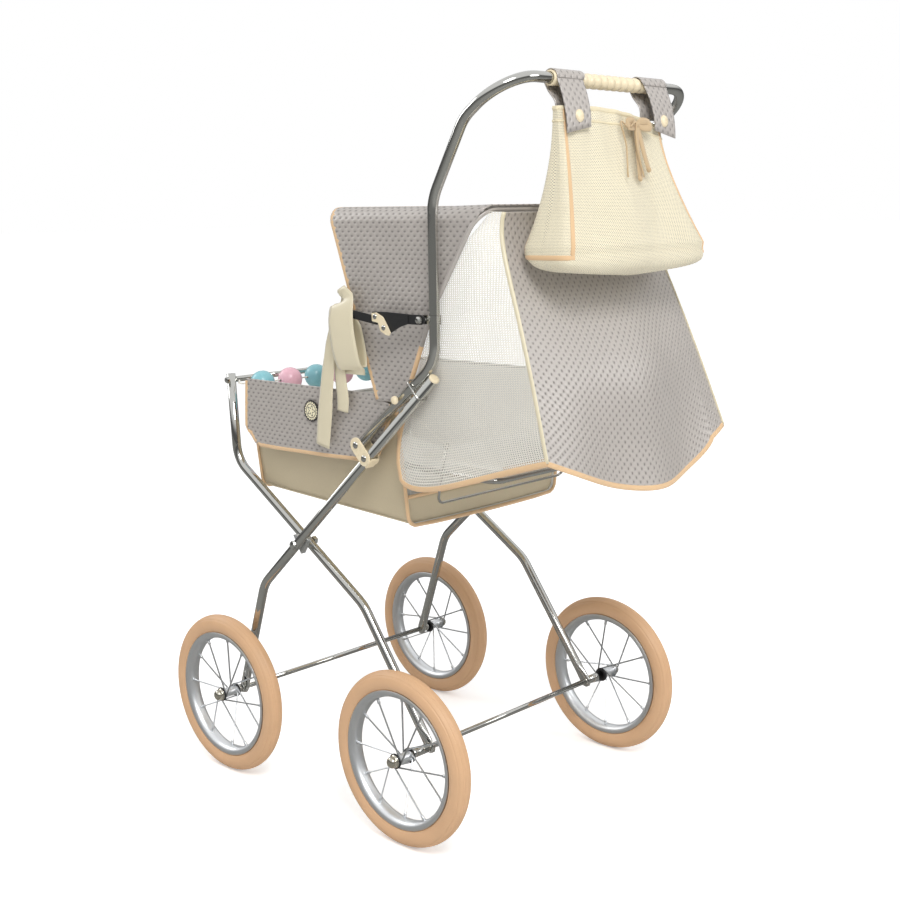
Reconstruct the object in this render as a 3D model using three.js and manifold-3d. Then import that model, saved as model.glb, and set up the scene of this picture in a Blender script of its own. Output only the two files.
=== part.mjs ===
// A doll's pram: two crossed pairs of bent legs on four spoked wheels, a folding push handle, a soft tub
// with side aprons, a folding hood with a cape behind it, a reclining backrest and a net bag.
// Millimetres. +Z is up, +X is the pram's left side and the front faces -Y.
import * as THREE from "three";
import { mergeVertices } from "three/addons/utils/BufferGeometryUtils.js";
import Module from "manifold-3d";

const wasm = await Module();
wasm.setup();

// ---------------------------------------------------------------- driving dimensions

// Side-view places are [y, z] pairs. Y is counted from the middle of the wheelbase, Z from the ground.
const WHEEL_RADIUS = 108;
const WHEELBASE = 340;
const WHEEL_PLANE = 202; // from the middle of the pram to the middle of a wheel
const TYRE_SECTION = 12.7; // radius of the round tyre
const REARMOST = 397.2; // the back of the cape, behind the middle of the wheelbase
const LENGTH_CENTRE = (REARMOST - WHEELBASE / 2 - WHEEL_RADIUS) / 2;

const TUBE = 6; // radius of the legs and the handle
const AXLE = 3.5;
const WIRE = 2; // radius of the hood bows and of the rivets
const CORD = 1.2; // radius of the recline cords and the drawstring
const FRONT_LEG_PLANE = 174;
const REAR_LEG_PLANE = 154;
const HANDLE_PLANE = 174;
const RUNNING_GAP = 0.3; // between a pin and its hole, and between faces that pass each other

const FRONT_AXLE = [-WHEELBASE / 2, WHEEL_RADIUS];
const REAR_AXLE = [WHEELBASE / 2, WHEEL_RADIUS];
const CROSSING = [-46, 331]; // where the two legs are bolted together
const FRONT_LEG_KNEE = [-116.5, 265.3];
const FRONT_LEG_TOP = [206, 564];
const REAR_LEG_KNEE = [57, 265];
const REAR_LEG_ELBOW = [-189.5, 423];
const REAR_LEG_TOP = [-197, 540];
const FRONT_BAR = [-196, 532];

const HANDLE_PIVOT = [81, 476];
const HANDLE_KNEE = [209, 583.4];
const HANDLE_SHOULDER = [209, 764];
const HANDLE_NECK = [258, 850];
const GRIP = [318, 891];
const GRIP_HALF = 103;
const GRIP_RADIUS = 8.4;
const GRIP_RINGS = 15;

const TUB_BOTTOM_Z = 374; // at its rear end, which hangs lower than its front
const TUB_BOTTOM_HALF = 138;
const TUB_RIM_HALF = 157;
const TUB_RIM_Z = 533;
const TUB_FRONT = -153;
const TUB_REAR = 126;
const TUB_FRONT_LIP_Z = 500; // both end walls are lower than the sides
const TUB_REAR_LIP_Z = 415;
const TUB_WALL = 4;
const APRON_PLANE = 161;

const BACKREST_HINGE = [108, 446];
const BACKREST_LENGTH = 147;
const BACKREST_HALF = 125;

const HOOD_PIVOT = [152, 537];
const HOOD_HALF = 157;
const HOOD_TOP_Z = 750;
const FRONT_BOW_PLANE = 160.6;
const REAR_BOW_PLANE = 165.2;
const FRONT_BOW_FOOT = [112, 543];
const FRONT_BOW_TOP = [36, 754];
const REAR_BOW_WAIST = [196, 638];
const REAR_BOW_TOP = [270, 753];
const BOW_CORNER = 28;

const STAY_ANCHOR = [199, 632]; // the bolt on the handle
const STAY_ELBOW = [123, 628];
const STAY_FRONT = [79, 634]; // the pin on the front bow
const STAY_HALF_WIDTH = 5;

const CAPE_HALF = 156.5;
const BAG_TOP_Z = 852;
const BAG_BOTTOM_Z = 672;
const BAG_WIDEST_Z = 714;
const STRAP_INNER = 49;
const STRAP_OUTER = 101;
const BALLS = 6;
const BALL_RADIUS = 16.8;
const BALL_SPACING = 48;

// ---------------------------------------------------------------- materials

function material(color, roughness, metalness = 0) {
  return new THREE.MeshStandardMaterial({ color, roughness, metalness });
}

const chrome = material(0xcdd1d4, 0.16, 1);
const wheelSteel = material(0xa9adb1, 0.25, 1);
const blackSteel = material(0x22201f, 0.45, 0.6);
const tyreRubber = material(0xc69670, 0.62);
const creamPlastic = material(0xf0e4cc, 0.4);
const leatherette = material(0xd8c2a2, 0.5);
const greyQuilt = material(0xa39a93, 0.85);
const creamNet = material(0xeadfca, 0.9);
const satin = material(0xefe3c9, 0.35);
const padding = material(0xe9e4db, 0.9);
const board = material(0xb08d62, 0.8);
const cordFibre = material(0xf2ede2, 0.8);
const beadPlastic = material(0x6cc0bd, 0.35);
const badgeCloth = material(0x2a2726, 0.7);

// ---------------------------------------------------------------- shape helpers

const MERGE = 1e-4;
const ARC_STEP = THREE.MathUtils.degToRad(18);
const LEFT = 1;
const RIGHT = -1;

const at = (x, [y, z]) => new THREE.Vector3(x, y, z);
const mix = (from, to, share) => from + (to - from) * share;
const mixPlace = (from, to, share) => from.map((value, i) => mix(value, to[i], share));
const toward = (from, to, distance) =>
  mixPlace(from, to, distance / Math.hypot(to[0] - from[0], to[1] - from[1]));

function signedVolume(geometry) {
  const { position } = geometry.attributes;
  const corners = [0, 1, 2].map(() => new THREE.Vector3());
  let sum = 0;
  for (let i = 0; i < geometry.index.count; i += 3) {
    corners.forEach((corner, k) => corner.fromBufferAttribute(position, geometry.index.getX(i + k)));
    sum += corners[0].dot(corners[1].clone().cross(corners[2]));
  }
  return sum / 6;
}

// Merges shared vertices, drops faces that have collapsed and turns the rest outwards.
function closed(geometry) {
  const bare = geometry.index ? geometry.toNonIndexed() : geometry.clone();
  bare.deleteAttribute("normal");
  bare.deleteAttribute("uv");
  const merged = mergeVertices(bare, MERGE);
  const faces = [];
  for (let i = 0; i < merged.index.count; i += 3) {
    const face = [0, 1, 2].map((k) => merged.index.getX(i + k));
    if (new Set(face).size === 3) faces.push(face);
  }
  merged.setIndex(faces.flat());
  if (signedVolume(merged) < 0) merged.setIndex(faces.flatMap(([a, b, c]) => [a, c, b]));
  return merged;
}

function toSolid(geometry) {
  const shape = closed(geometry);
  const vertProperties = shape.attributes.position.array;
  const triVerts = new Uint32Array(shape.index.array);
  return new wasm.Manifold(new wasm.Mesh({ numProp: 3, vertProperties, triVerts }));
}

function toGeometry(solid) {
  const mesh = solid.getMesh();
  const geometry = new THREE.BufferGeometry();
  geometry.setAttribute("position", new THREE.BufferAttribute(mesh.vertProperties, 3));
  geometry.setIndex(new THREE.BufferAttribute(mesh.triVerts, 1));
  return geometry;
}

function join(...geometries) {
  return toGeometry(geometries.map(toSolid).reduce((sum, next) => sum.add(next)));
}

function cut(body, ...tools) {
  return toGeometry(tools.map(toSolid).reduce((rest, tool) => rest.subtract(tool), toSolid(body)));
}

function polygon(radius, sides) {
  const corners = [];
  for (let i = 0; i < sides; i += 1) {
    const angle = (i / sides) * 2 * Math.PI;
    corners.push(new THREE.Vector2(radius * Math.cos(angle), radius * Math.sin(angle)));
  }
  return new THREE.Shape(corners);
}

// A centre line of straight runs and round bends. Each corner is a Vector3 with its bend radius in
// `bend`, and each station on the line keeps its own direction, so a bend needs few rings.
class BentLine extends THREE.Curve {
  constructor(corners) {
    super();
    this.stations = corners.flatMap((corner, i) => bendStations(corners[i - 1], corner, corners[i + 1]));
  }

  stationAt(t) {
    return this.stations[Math.round(t * (this.stations.length - 1))];
  }

  getUtoTmapping(u) {
    return u;
  }

  getPoint(t) {
    return this.stationAt(t).point.clone();
  }

  getTangent(t) {
    return this.stationAt(t).direction.clone();
  }
}

function bendStations(before, corner, after) {
  if (!before) return [{ point: corner, direction: after.clone().sub(corner).normalize() }];
  if (!after) return [{ point: corner, direction: corner.clone().sub(before).normalize() }];
  const incoming = corner.clone().sub(before).normalize();
  const outgoing = after.clone().sub(corner).normalize();
  const turn = incoming.angleTo(outgoing);
  const start = corner.clone().addScaledVector(incoming, -corner.bend * Math.tan(turn / 2));
  const axis = incoming.clone().cross(outgoing).normalize();
  const centre = start.clone().addScaledVector(axis.clone().cross(incoming), corner.bend);
  const arm = start.sub(centre);
  const steps = Math.ceil(turn / ARC_STEP);
  return Array.from({ length: steps + 1 }, (_, k) => ({
    point: arm.clone().applyAxisAngle(axis, (turn * k) / steps).add(centre),
    direction: incoming.clone().applyAxisAngle(axis, (turn * k) / steps),
  }));
}

function bend(point, radius) {
  return Object.assign(point, { bend: radius });
}

function rod(corners, radius, sides = 10) {
  const extrudePath = new BentLine(corners);
  const steps = extrudePath.stations.length - 1;
  return new THREE.ExtrudeGeometry(polygon(radius, sides), { extrudePath, steps });
}

// A smooth cord through the points, with rings a few diameters apart.
function cord(points, radius, steps) {
  const extrudePath = new THREE.CatmullRomCurve3(points);
  return new THREE.ExtrudeGeometry(polygon(radius, 8), { extrudePath, steps });
}

// A round bar across the pram, from one X to another.
function pin([y, z], radius, from, to, sides = 8) {
  const bar = new THREE.CylinderGeometry(radius, radius, to - from, sides);
  return bar.rotateZ(-Math.PI / 2).translate((from + to) / 2, y, z);
}

// A turned piece about an axis across the pram. The profile is [radius, x] pairs.
function turned(profile, [y, z], segments = 12) {
  const points = profile.map(([radius, along]) => new THREE.Vector2(radius, along));
  return new THREE.LatheGeometry(points, segments).rotateZ(-Math.PI / 2).translate(0, y, z);
}

// A round-headed rivet's dome, flat on x = from and rising towards x = to.
function dome([y, z], radius, from, to) {
  const profile = [[0, from], [radius, from], [0.8 * radius, mix(from, to, 0.7)], [0, to]];
  return turned(profile, [y, z], 10);
}

// A side-view outline, as a Shape in (y, z), given a thickness from one X to another.
function plate(shape, from, to, curveSegments = 4) {
  const depth = to - from;
  const slab = new THREE.ExtrudeGeometry(shape, { depth, bevelEnabled: false, curveSegments });
  const sideways = new THREE.Matrix4().makeBasis(
    new THREE.Vector3(0, 1, 0),
    new THREE.Vector3(0, 0, 1),
    new THREE.Vector3(1, 0, 0),
  );
  return slab.applyMatrix4(sideways).translate(from, 0, 0);
}

function outline(places) {
  return new THREE.Shape(places.map(([y, z]) => new THREE.Vector2(y, z)));
}

// A bar with round ends from one place to another.
function stadium([y0, z0], [y1, z1], halfWidth) {
  const angle = Math.atan2(z1 - z0, y1 - y0);
  const shape = new THREE.Shape();
  shape.absarc(y0, z0, halfWidth, angle + Math.PI / 2, angle + 1.5 * Math.PI);
  shape.absarc(y1, z1, halfWidth, angle - Math.PI / 2, angle + Math.PI / 2);
  shape.closePath();
  return shape;
}

// A sheet of the given thickness: a flat box whose vertices are carried on to surface(u, v).
function sheet(surface, thickness, columns, rows) {
  const box = new THREE.BoxGeometry(1, 1, 1, columns, rows, 1);
  const { position } = box.attributes;
  const nudge = 1e-3;
  const clamp = (share) => Math.min(1, Math.max(0, share));
  for (let i = 0; i < position.count; i += 1) {
    const u = position.getX(i) + 0.5;
    const v = position.getY(i) + 0.5;
    const across = surface(clamp(u + nudge), v).sub(surface(clamp(u - nudge), v));
    const along = surface(u, clamp(v + nudge)).sub(surface(u, clamp(v - nudge)));
    const normal = across.cross(along).normalize();
    const place = surface(u, v).addScaledVector(normal, position.getZ(i) * thickness);
    position.setXYZ(i, place.x, place.y, place.z);
  }
  return box;
}

// ---------------------------------------------------------------- the scene graph

const pram = new THREE.Group();
const model = new THREE.Group();
pram.position.y = -LENGTH_CENTRE;
model.add(pram);

function add(name, geometry, finish, parent = pram) {
  const facets = closed(geometry).toNonIndexed();
  facets.computeVertexNormals();
  const mesh = new THREE.Mesh(facets, finish);
  mesh.name = name;
  parent.add(mesh);
}

// The left piece and its mirror image on the right.
function addPair(name, geometry, finish) {
  add(`${name}_left`, geometry, finish);
  add(`${name}_right`, geometry.clone().scale(-1, 1, 1), finish);
}

// ---------------------------------------------------------------- wheels and axles

// [radius, distance from the middle of the wheel] pairs. The rim is a channel that the tyre lies in.
const RIM_PROFILE = [[85.8, -9.5], [81.9, -4.5], [81.9, 4.5], [85.8, 9.5], [77, 6], [77, -6]];
const HUB_PROFILE = [[3.8, -14], [9.5, -13], [6.5, -9], [6.5, 9], [9.5, 12], [3.8, 12]];
const HUB_INNER = 14; // how far the hub reaches inwards and outwards
const HUB_OUTER = 12;
const WHEEL_SEGMENTS = 28;
const SPOKES = 12;
const SPOKE_RADIUS = 1.1;
const SPOKE_LEAN = THREE.MathUtils.degToRad(75); // how far round the hub a spoke starts from its rim end

// The tread has a narrow flat, and one facet of it lies level at the bottom of the wheel.
function tyreGeometry() {
  const sides = 8;
  const halfSide = Math.PI / sides;
  const halfFacet = Math.PI / WHEEL_SEGMENTS;
  const centre = WHEEL_RADIUS / Math.cos(halfFacet) - TYRE_SECTION * Math.cos(halfSide);
  const profile = Array.from({ length: sides + 1 }, (_, i) => {
    const angle = (2 * (i % sides) + 1) * halfSide;
    return [centre + TYRE_SECTION * Math.cos(angle), TYRE_SECTION * Math.sin(angle)];
  });
  return turned(profile, [0, 0], WHEEL_SEGMENTS).rotateX(halfFacet);
}

// Each spoke leaves the hub flange along a tangent, and neighbours cross.
function spokeGeometry(index) {
  const side = index % 2 ? 1 : -1;
  const rimAngle = (index / SPOKES) * 2 * Math.PI;
  const hubAngle = rimAngle + side * SPOKE_LEAN;
  const polar = (x, radius, angle) => at(x, [radius * Math.sin(angle), radius * Math.cos(angle)]);
  const flange = polar(side * 10, 7.4, hubAngle);
  const insideTheRim = polar(side * 2, 79, rimAngle);
  return rod([flange, insideTheRim], SPOKE_RADIUS, 4);
}

function wheelGeometry() {
  const rim = turned([...RIM_PROFILE, RIM_PROFILE[0]], [0, 0], WHEEL_SEGMENTS);
  const hub = turned([...HUB_PROFILE, HUB_PROFILE[0]], [0, 0], 8);
  const spokes = Array.from({ length: SPOKES }, (_, index) => spokeGeometry(index));
  return join(rim, hub, ...spokes);
}

function addWheel(name, side, [y, z], wheel, tyre) {
  const place = new THREE.Group();
  place.position.set(side * WHEEL_PLANE, y, z);
  if (side === RIGHT) place.rotation.z = Math.PI;
  add(`tyre_${name}`, tyre, tyreRubber, place);
  add(`wheel_${name}`, wheel, wheelSteel, place);
  pram.add(place);
}

// A rod across the pram with a spacer sleeve inside each hub and a domed nut outside it.
function axleGeometry(place, sleeveFrom) {
  const sleeveTo = WHEEL_PLANE - HUB_INNER - RUNNING_GAP;
  const nutFrom = WHEEL_PLANE + HUB_OUTER + 0.5;
  const nutTip = nutFrom + 6.1;
  const nut = [[0, nutFrom], [6.5, nutFrom], [6.5, nutFrom + 1.5], [4.6, nutTip - 1.2], [0, nutTip]];
  const half = join(
    pin(place, AXLE, -1, nutFrom + 0.5, 10),
    pin(place, 5.5, sleeveFrom, sleeveTo, 10),
    turned(nut, place),
  );
  return join(half, half.clone().scale(-1, 1, 1));
}

const wheel = wheelGeometry();
const tyre = tyreGeometry();
for (const [end, place] of [["front", FRONT_AXLE], ["rear", REAR_AXLE]]) {
  addWheel(`${end}_left`, LEFT, place, wheel, tyre);
  addWheel(`${end}_right`, RIGHT, place, wheel, tyre);
}

// ---------------------------------------------------------------- legs

const EYE_RADIUS = 8;
const EYE_HALF = 4;

// A leg tube ends in a flat eye round its axle and has a hole where the crossing bolt passes.
function legGeometry(plane, corners, axle) {
  const tube = rod(corners, TUBE);
  const eye = pin(axle, EYE_RADIUS, plane - EYE_HALF, plane + EYE_HALF, 12);
  const axleHole = pin(axle, AXLE + RUNNING_GAP, plane - 2 * TUBE, plane + 2 * TUBE);
  const boltHole = pin(CROSSING, WIRE + RUNNING_GAP, plane - 2 * TUBE, plane + 2 * TUBE);
  return cut(join(tube, eye), axleHole, boltHole);
}

const frontLegCorners = [
  at(FRONT_LEG_PLANE, FRONT_AXLE),
  bend(at(FRONT_LEG_PLANE, FRONT_LEG_KNEE), 50),
  at(FRONT_LEG_PLANE, FRONT_LEG_TOP),
];
const rearLegCorners = [
  at(REAR_LEG_PLANE, REAR_AXLE),
  bend(at(REAR_LEG_PLANE, REAR_LEG_KNEE), 60),
  bend(at(REAR_LEG_PLANE, REAR_LEG_ELBOW), 40),
  at(REAR_LEG_PLANE, REAR_LEG_TOP),
];
addPair("front_leg", legGeometry(FRONT_LEG_PLANE, frontLegCorners, FRONT_AXLE), chrome);
addPair("rear_leg", legGeometry(REAR_LEG_PLANE, rearLegCorners, REAR_AXLE), chrome);
add("front_axle", axleGeometry(FRONT_AXLE, FRONT_LEG_PLANE + TUBE + RUNNING_GAP), chrome);
add("rear_axle", axleGeometry(REAR_AXLE, REAR_LEG_PLANE + TUBE + RUNNING_GAP), chrome);

const legSlope = Math.atan2(
  FRONT_LEG_TOP[1] - FRONT_LEG_KNEE[1],
  FRONT_LEG_TOP[0] - FRONT_LEG_KNEE[0],
);
const upTheLeg = ([y, z], distance) => [
  y + distance * Math.cos(legSlope),
  z + distance * Math.sin(legSlope),
];

function legCapGeometry() {
  const from = at(FRONT_LEG_PLANE, upTheLeg(FRONT_LEG_TOP, RUNNING_GAP));
  const to = at(FRONT_LEG_PLANE, upTheLeg(FRONT_LEG_TOP, 3.3));
  return rod([from, to], TUBE + 0.4, 14);
}

function crossingBoltGeometry() {
  const inner = REAR_LEG_PLANE - TUBE - RUNNING_GAP;
  const outer = FRONT_LEG_PLANE + TUBE + RUNNING_GAP;
  return join(
    pin(CROSSING, WIRE, inner - 8, outer + 1),
    pin(CROSSING, 5.5, inner - 5, inner, 6),
    dome(CROSSING, 6, outer, outer + 3.5),
  );
}

// The folded bracket that keeps the two legs apart.
function crossingBracketGeometry() {
  const [y, z] = CROSSING;
  const shape = outline([[y, z - 14], [y + 15, z + 9], [y - 15, z + 9]]);
  const inner = REAR_LEG_PLANE + TUBE + RUNNING_GAP;
  const outer = FRONT_LEG_PLANE - TUBE - RUNNING_GAP;
  const hole = pin(CROSSING, WIRE + RUNNING_GAP, inner - 1, outer + 1);
  return cut(plate(shape, inner, outer), hole);
}

addPair("front_leg_cap", legCapGeometry(), creamPlastic);
addPair("crossing_bolt", crossingBoltGeometry(), chrome);
addPair("crossing_bracket", crossingBracketGeometry(), chrome);

// ---------------------------------------------------------------- front bar and ball string

const barEnd = REAR_LEG_PLANE - TUBE - RUNNING_GAP;
const barNutFrom = REAR_LEG_PLANE + TUBE + RUNNING_GAP;
add("front_bar", pin(FRONT_BAR, 4, -barEnd, barEnd), chrome);
addPair("front_bar_nut", dome(FRONT_BAR, 4.6, barNutFrom, barNutFrom + 4.2), chrome);

// Six balls threaded on one elastic string behind the front bar.
function ballStringGeometry() {
  const line = [-172, 526];
  const nearEnd = [-178, 527];
  const end = [-188, 531];
  const places = [
    at(-barEnd, end),
    at(-140, nearEnd),
    at(0, line),
    at(140, nearEnd),
    at(barEnd, end),
  ];
  const balls = Array.from({ length: BALLS }, (_, i) => {
    const x = (i - (BALLS - 1) / 2) * BALL_SPACING;
    return new THREE.SphereGeometry(BALL_RADIUS, 10, 7).translate(x, ...line);
  });
  return join(cord(places, CORD, 16), ...balls);
}

add("ball_string", ballStringGeometry(), beadPlastic);

// ---------------------------------------------------------------- handle, clamps and lock rings

// The same corners on the other side of the pram, in the order that carries the line on.
function mirroredCorners(corners) {
  return corners.map((corner) => bend(corner.clone().setX(-corner.x), corner.bend)).reverse();
}

function handleGeometry() {
  const pastTheRivet = 0.04;
  const corners = [
    at(HANDLE_PLANE, mixPlace(HANDLE_PIVOT, HANDLE_KNEE, -pastTheRivet)),
    bend(at(HANDLE_PLANE, HANDLE_KNEE), 45),
    bend(at(HANDLE_PLANE, HANDLE_SHOULDER), 60),
    bend(at(HANDLE_PLANE, HANDLE_NECK), 50),
    bend(at(HANDLE_PLANE, GRIP), 50),
  ];
  const tube = rod([...corners, ...mirroredCorners(corners)], TUBE);
  const holes = [HANDLE_PIVOT, HOOD_PIVOT].flatMap((place) =>
    [LEFT, RIGHT].map((side) => {
      const middle = side * HANDLE_PLANE;
      return pin(place, WIRE + RUNNING_GAP, middle - 2 * TUBE, middle + 2 * TUBE);
    }),
  );
  return cut(tube, ...holes);
}

add("handle", handleGeometry(), chrome);

function gripGeometry() {
  const bore = TUBE + 2 * RUNNING_GAP;
  const plain = 10;
  const pitch = (2 * (GRIP_HALF - plain)) / GRIP_RINGS;
  const profile = [[bore, -GRIP_HALF], [GRIP_RADIUS, -GRIP_HALF], [GRIP_RADIUS, -GRIP_HALF + plain]];
  for (let ring = 0; ring < GRIP_RINGS; ring += 1) {
    const start = -GRIP_HALF + plain + ring * pitch;
    profile.push([GRIP_RADIUS - 1.3, start + 0.25 * pitch], [GRIP_RADIUS, start + pitch]);
  }
  profile.push([GRIP_RADIUS, GRIP_HALF], [bore, GRIP_HALF], [bore, -GRIP_HALF]);
  return turned(profile, GRIP, 10);
}

add("grip", gripGeometry(), creamPlastic);

// A bent plate wrapped round the front leg. Its two cheeks hold the handle's lower end on a rivet.
function handleClampGeometry() {
  const inner = HANDLE_PLANE - TUBE - RUNNING_GAP;
  const outer = HANDLE_PLANE + TUBE + RUNNING_GAP;
  const cheek = 2;
  const legPoint = [95, legZ(95)];
  const body = plate(stadium(HANDLE_PIVOT, legPoint, 9.5), inner - cheek, outer + cheek, 6);
  const normal = [-Math.sin(legSlope), Math.cos(legSlope)];
  const along = [Math.cos(legSlope), Math.sin(legSlope)];
  const corner = (u, v) => [
    legPoint[0] + u * along[0] + v * normal[0],
    legPoint[1] + u * along[1] + v * normal[1],
  ];
  const reach = 40;
  const aboveTheLeg = [corner(-reach, 0), corner(reach, 0), corner(reach, 60), corner(-reach, 60)];
  const slot = plate(outline(aboveTheLeg), inner, outer);
  const leg = rod(
    [at(FRONT_LEG_PLANE, corner(-reach, 0)), at(FRONT_LEG_PLANE, corner(reach, 0))],
    TUBE + RUNNING_GAP,
  );
  const rivet = 4.5;
  const rivetHeight = 2.6;
  const sunk = 0.1;
  return join(
    cut(body, slot, leg),
    pin(HANDLE_PIVOT, WIRE, inner - 1, outer + 1),
    dome(HANDLE_PIVOT, rivet, outer + cheek - sunk, outer + cheek + rivetHeight),
    dome(HANDLE_PIVOT, rivet, inner - cheek + sunk, inner - cheek - 1.6),
    dome(legPoint, rivet, outer + cheek - sunk, outer + cheek + rivetHeight),
  );
}

function legZ(y) {
  return FRONT_LEG_TOP[1] - (FRONT_LEG_TOP[0] - y) * Math.tan(legSlope);
}

addPair("handle_clamp", handleClampGeometry(), creamPlastic);

// Where the handle tube's centre crosses the line that leaves the leg squarely at a given place.
function handleOffsetFrom([y, z]) {
  const handleSlope = (HANDLE_KNEE[1] - HANDLE_PIVOT[1]) / (HANDLE_KNEE[0] - HANDLE_PIVOT[0]);
  const rise = HANDLE_PIVOT[1] + (y - HANDLE_PIVOT[0]) * handleSlope - z;
  return rise / (Math.cos(legSlope) + Math.sin(legSlope) * handleSlope);
}

const RING_BELOW_TOP = 30;

// The oval ring that locks the handle to the front leg.
function lockRingGeometry() {
  const seat = upTheLeg(FRONT_LEG_TOP, -RING_BELOW_TOP);
  const reach = handleOffsetFrom(seat);
  const opening = TUBE + 0.8;
  const wire = 2.5;
  const ring = stadium([0, 0], [reach, 0], opening + wire);
  ring.holes.push(stadium([-0.4, 0], [reach + 0.4, 0], opening + 0.2));
  const slab = new THREE.ExtrudeGeometry(ring, { depth: wire, bevelEnabled: false, curveSegments: 8 });
  const stance = new THREE.Matrix4().makeBasis(
    at(0, [-Math.sin(legSlope), Math.cos(legSlope)]),
    at(1, [0, 0]),
    at(0, [Math.cos(legSlope), Math.sin(legSlope)]),
  );
  const centre = at(HANDLE_PLANE, seat);
  return slab.applyMatrix4(stance).translate(centre.x, centre.y, centre.z);
}

addPair("lock_ring", lockRingGeometry(), chrome);

// ---------------------------------------------------------------- tub, aprons and what lies inside

// The tub flares towards its rim, so its half-width grows with height.
const tubFloorZ = (y) => mix(388, TUB_BOTTOM_Z, (y - TUB_FRONT) / (TUB_REAR - TUB_FRONT));
const tubHalf = (z) =>
  mix(TUB_BOTTOM_HALF, TUB_RIM_HALF, (z - TUB_BOTTOM_Z) / (TUB_RIM_Z - TUB_BOTTOM_Z));

function flared(shape, inset) {
  const block = plate(shape, -1, 1);
  const { position } = block.attributes;
  for (let i = 0; i < position.count; i += 1) {
    position.setX(i, position.getX(i) * (tubHalf(position.getZ(i)) - inset));
  }
  return block;
}

function tubGeometry() {
  const outer = outline([
    [TUB_FRONT, TUB_RIM_Z],
    [TUB_FRONT - 4, 405],
    [TUB_FRONT + 2, tubFloorZ(TUB_FRONT)],
    [TUB_REAR - 8, tubFloorZ(TUB_REAR)],
    [TUB_REAR, TUB_REAR_LIP_Z],
    [TUB_REAR, TUB_RIM_Z],
  ]);
  const above = TUB_RIM_Z + 20;
  const inner = outline([
    [TUB_FRONT - 20, above],
    [TUB_FRONT - 20, TUB_FRONT_LIP_Z],
    [TUB_FRONT + TUB_WALL, TUB_FRONT_LIP_Z],
    [TUB_FRONT, 408],
    [TUB_FRONT + 6, tubFloorZ(TUB_FRONT) + TUB_WALL],
    [TUB_REAR - 12, tubFloorZ(TUB_REAR) + TUB_WALL],
    [TUB_REAR - TUB_WALL, TUB_REAR_LIP_Z],
    [TUB_REAR + 20, TUB_REAR_LIP_Z],
    [TUB_REAR + 20, above],
  ]);
  return cut(flared(outer, 0), flared(inner, TUB_WALL));
}

// A quilted panel that hangs over the tub's side.
function apronGeometry() {
  const shape = new THREE.Shape();
  shape.moveTo(-151, 538);
  shape.lineTo(-159, 470);
  shape.absarc(-143, 466, 16, Math.PI, 1.5 * Math.PI);
  shape.lineTo(92, 455);
  shape.quadraticCurveTo(106, 456, 110, 472);
  shape.lineTo(123, 526);
  shape.lineTo(100, 538);
  shape.closePath();
  return plate(shape, APRON_PLANE, APRON_PLANE + 2.5, 5);
}

function slopingSlab(front, rear, gapBelow, thickness, halfWidth) {
  const low = (y) => [y, tubFloorZ(y) + TUB_WALL + gapBelow];
  const high = (y) => [y, tubFloorZ(y) + TUB_WALL + gapBelow + thickness];
  return plate(outline([low(front), low(rear), high(rear), high(front)]), -halfWidth, halfWidth);
}

add("tub", tubGeometry(), leatherette);
add("base_board", slopingSlab(-144, 108, 1, 4, 117), board);
add("mattress", slopingSlab(-140, 104, 5.5, 36, 112), padding);
addPair("apron", apronGeometry(), greyQuilt);

function badgeGeometry() {
  return pin([-18, 507], 14, APRON_PLANE + 2.8, APRON_PLANE + 4.2, 20);
}

add("badge", badgeGeometry(), badgeCloth);

// ---------------------------------------------------------------- backrest

const backrestEnd = BACKREST_HINGE[0] + BACKREST_LENGTH;

function backrestFrameGeometry() {
  const armZ = BACKREST_HINGE[1];
  const corners = [
    at(BACKREST_HALF, BACKREST_HINGE),
    bend(at(BACKREST_HALF, [backrestEnd, armZ - 2]), 16),
    bend(at(-BACKREST_HALF, [backrestEnd, armZ - 2]), 16),
    at(-BACKREST_HALF, BACKREST_HINGE),
  ];
  const eyes = [LEFT, RIGHT].map((side) =>
    pin(BACKREST_HINGE, 5, side * BACKREST_HALF - 2, side * BACKREST_HALF + 2),
  );
  return join(rod(corners, AXLE, 8), ...eyes);
}

// The wire hoop that hangs under the backrest and carries its eyelets.
function supportHoopGeometry() {
  const half = BACKREST_HALF - 5.6;
  const low = [156, 404];
  const high = [172, 476];
  const corners = [
    at(half, high),
    bend(at(half, low), 10),
    bend(at(-half, low), 10),
    at(-half, high),
  ];
  const eyelets = [LEFT, RIGHT].map((side) =>
    pin(high, 4.2, side * half - 1.6, side * half + 1.6),
  );
  const holes = [LEFT, RIGHT].map((side) => pin(high, 1.8, side * half - 3, side * half + 3));
  return cut(join(rod(corners, 1.75, 6), ...eyelets), ...holes);
}

function backrestPadGeometry() {
  const front = 112;
  const under = 450;
  const top = 463;
  const rearEdge = [[backrestEnd - 4, under], [backrestEnd, 456], [backrestEnd - 6, top]];
  return plate(outline([[front, under], ...rearEdge, [front, top]]), -110, 110);
}

// The cord that holds the backrest down, from the tub's rear corner to the end of the frame.
function reclineCordGeometry() {
  const top = at(150, [TUB_REAR + 1.6, TUB_RIM_Z - 5]);
  const low = at(BACKREST_HALF + AXLE + 2, [backrestEnd - 12, BACKREST_HINGE[1] + 4]);
  const sag = 3;
  const middle = top.clone().lerp(low, 0.5).add(at(0, [0, -sag]));
  return cord([top, middle, low], CORD, 14);
}

add("backrest_frame", backrestFrameGeometry(), chrome);
add("support_hoop", supportHoopGeometry(), chrome);
add("backrest_pad", backrestPadGeometry(), padding);
addPair("recline_cord", reclineCordGeometry(), cordFibre);

// ---------------------------------------------------------------- hood bows, pins and stays

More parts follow.
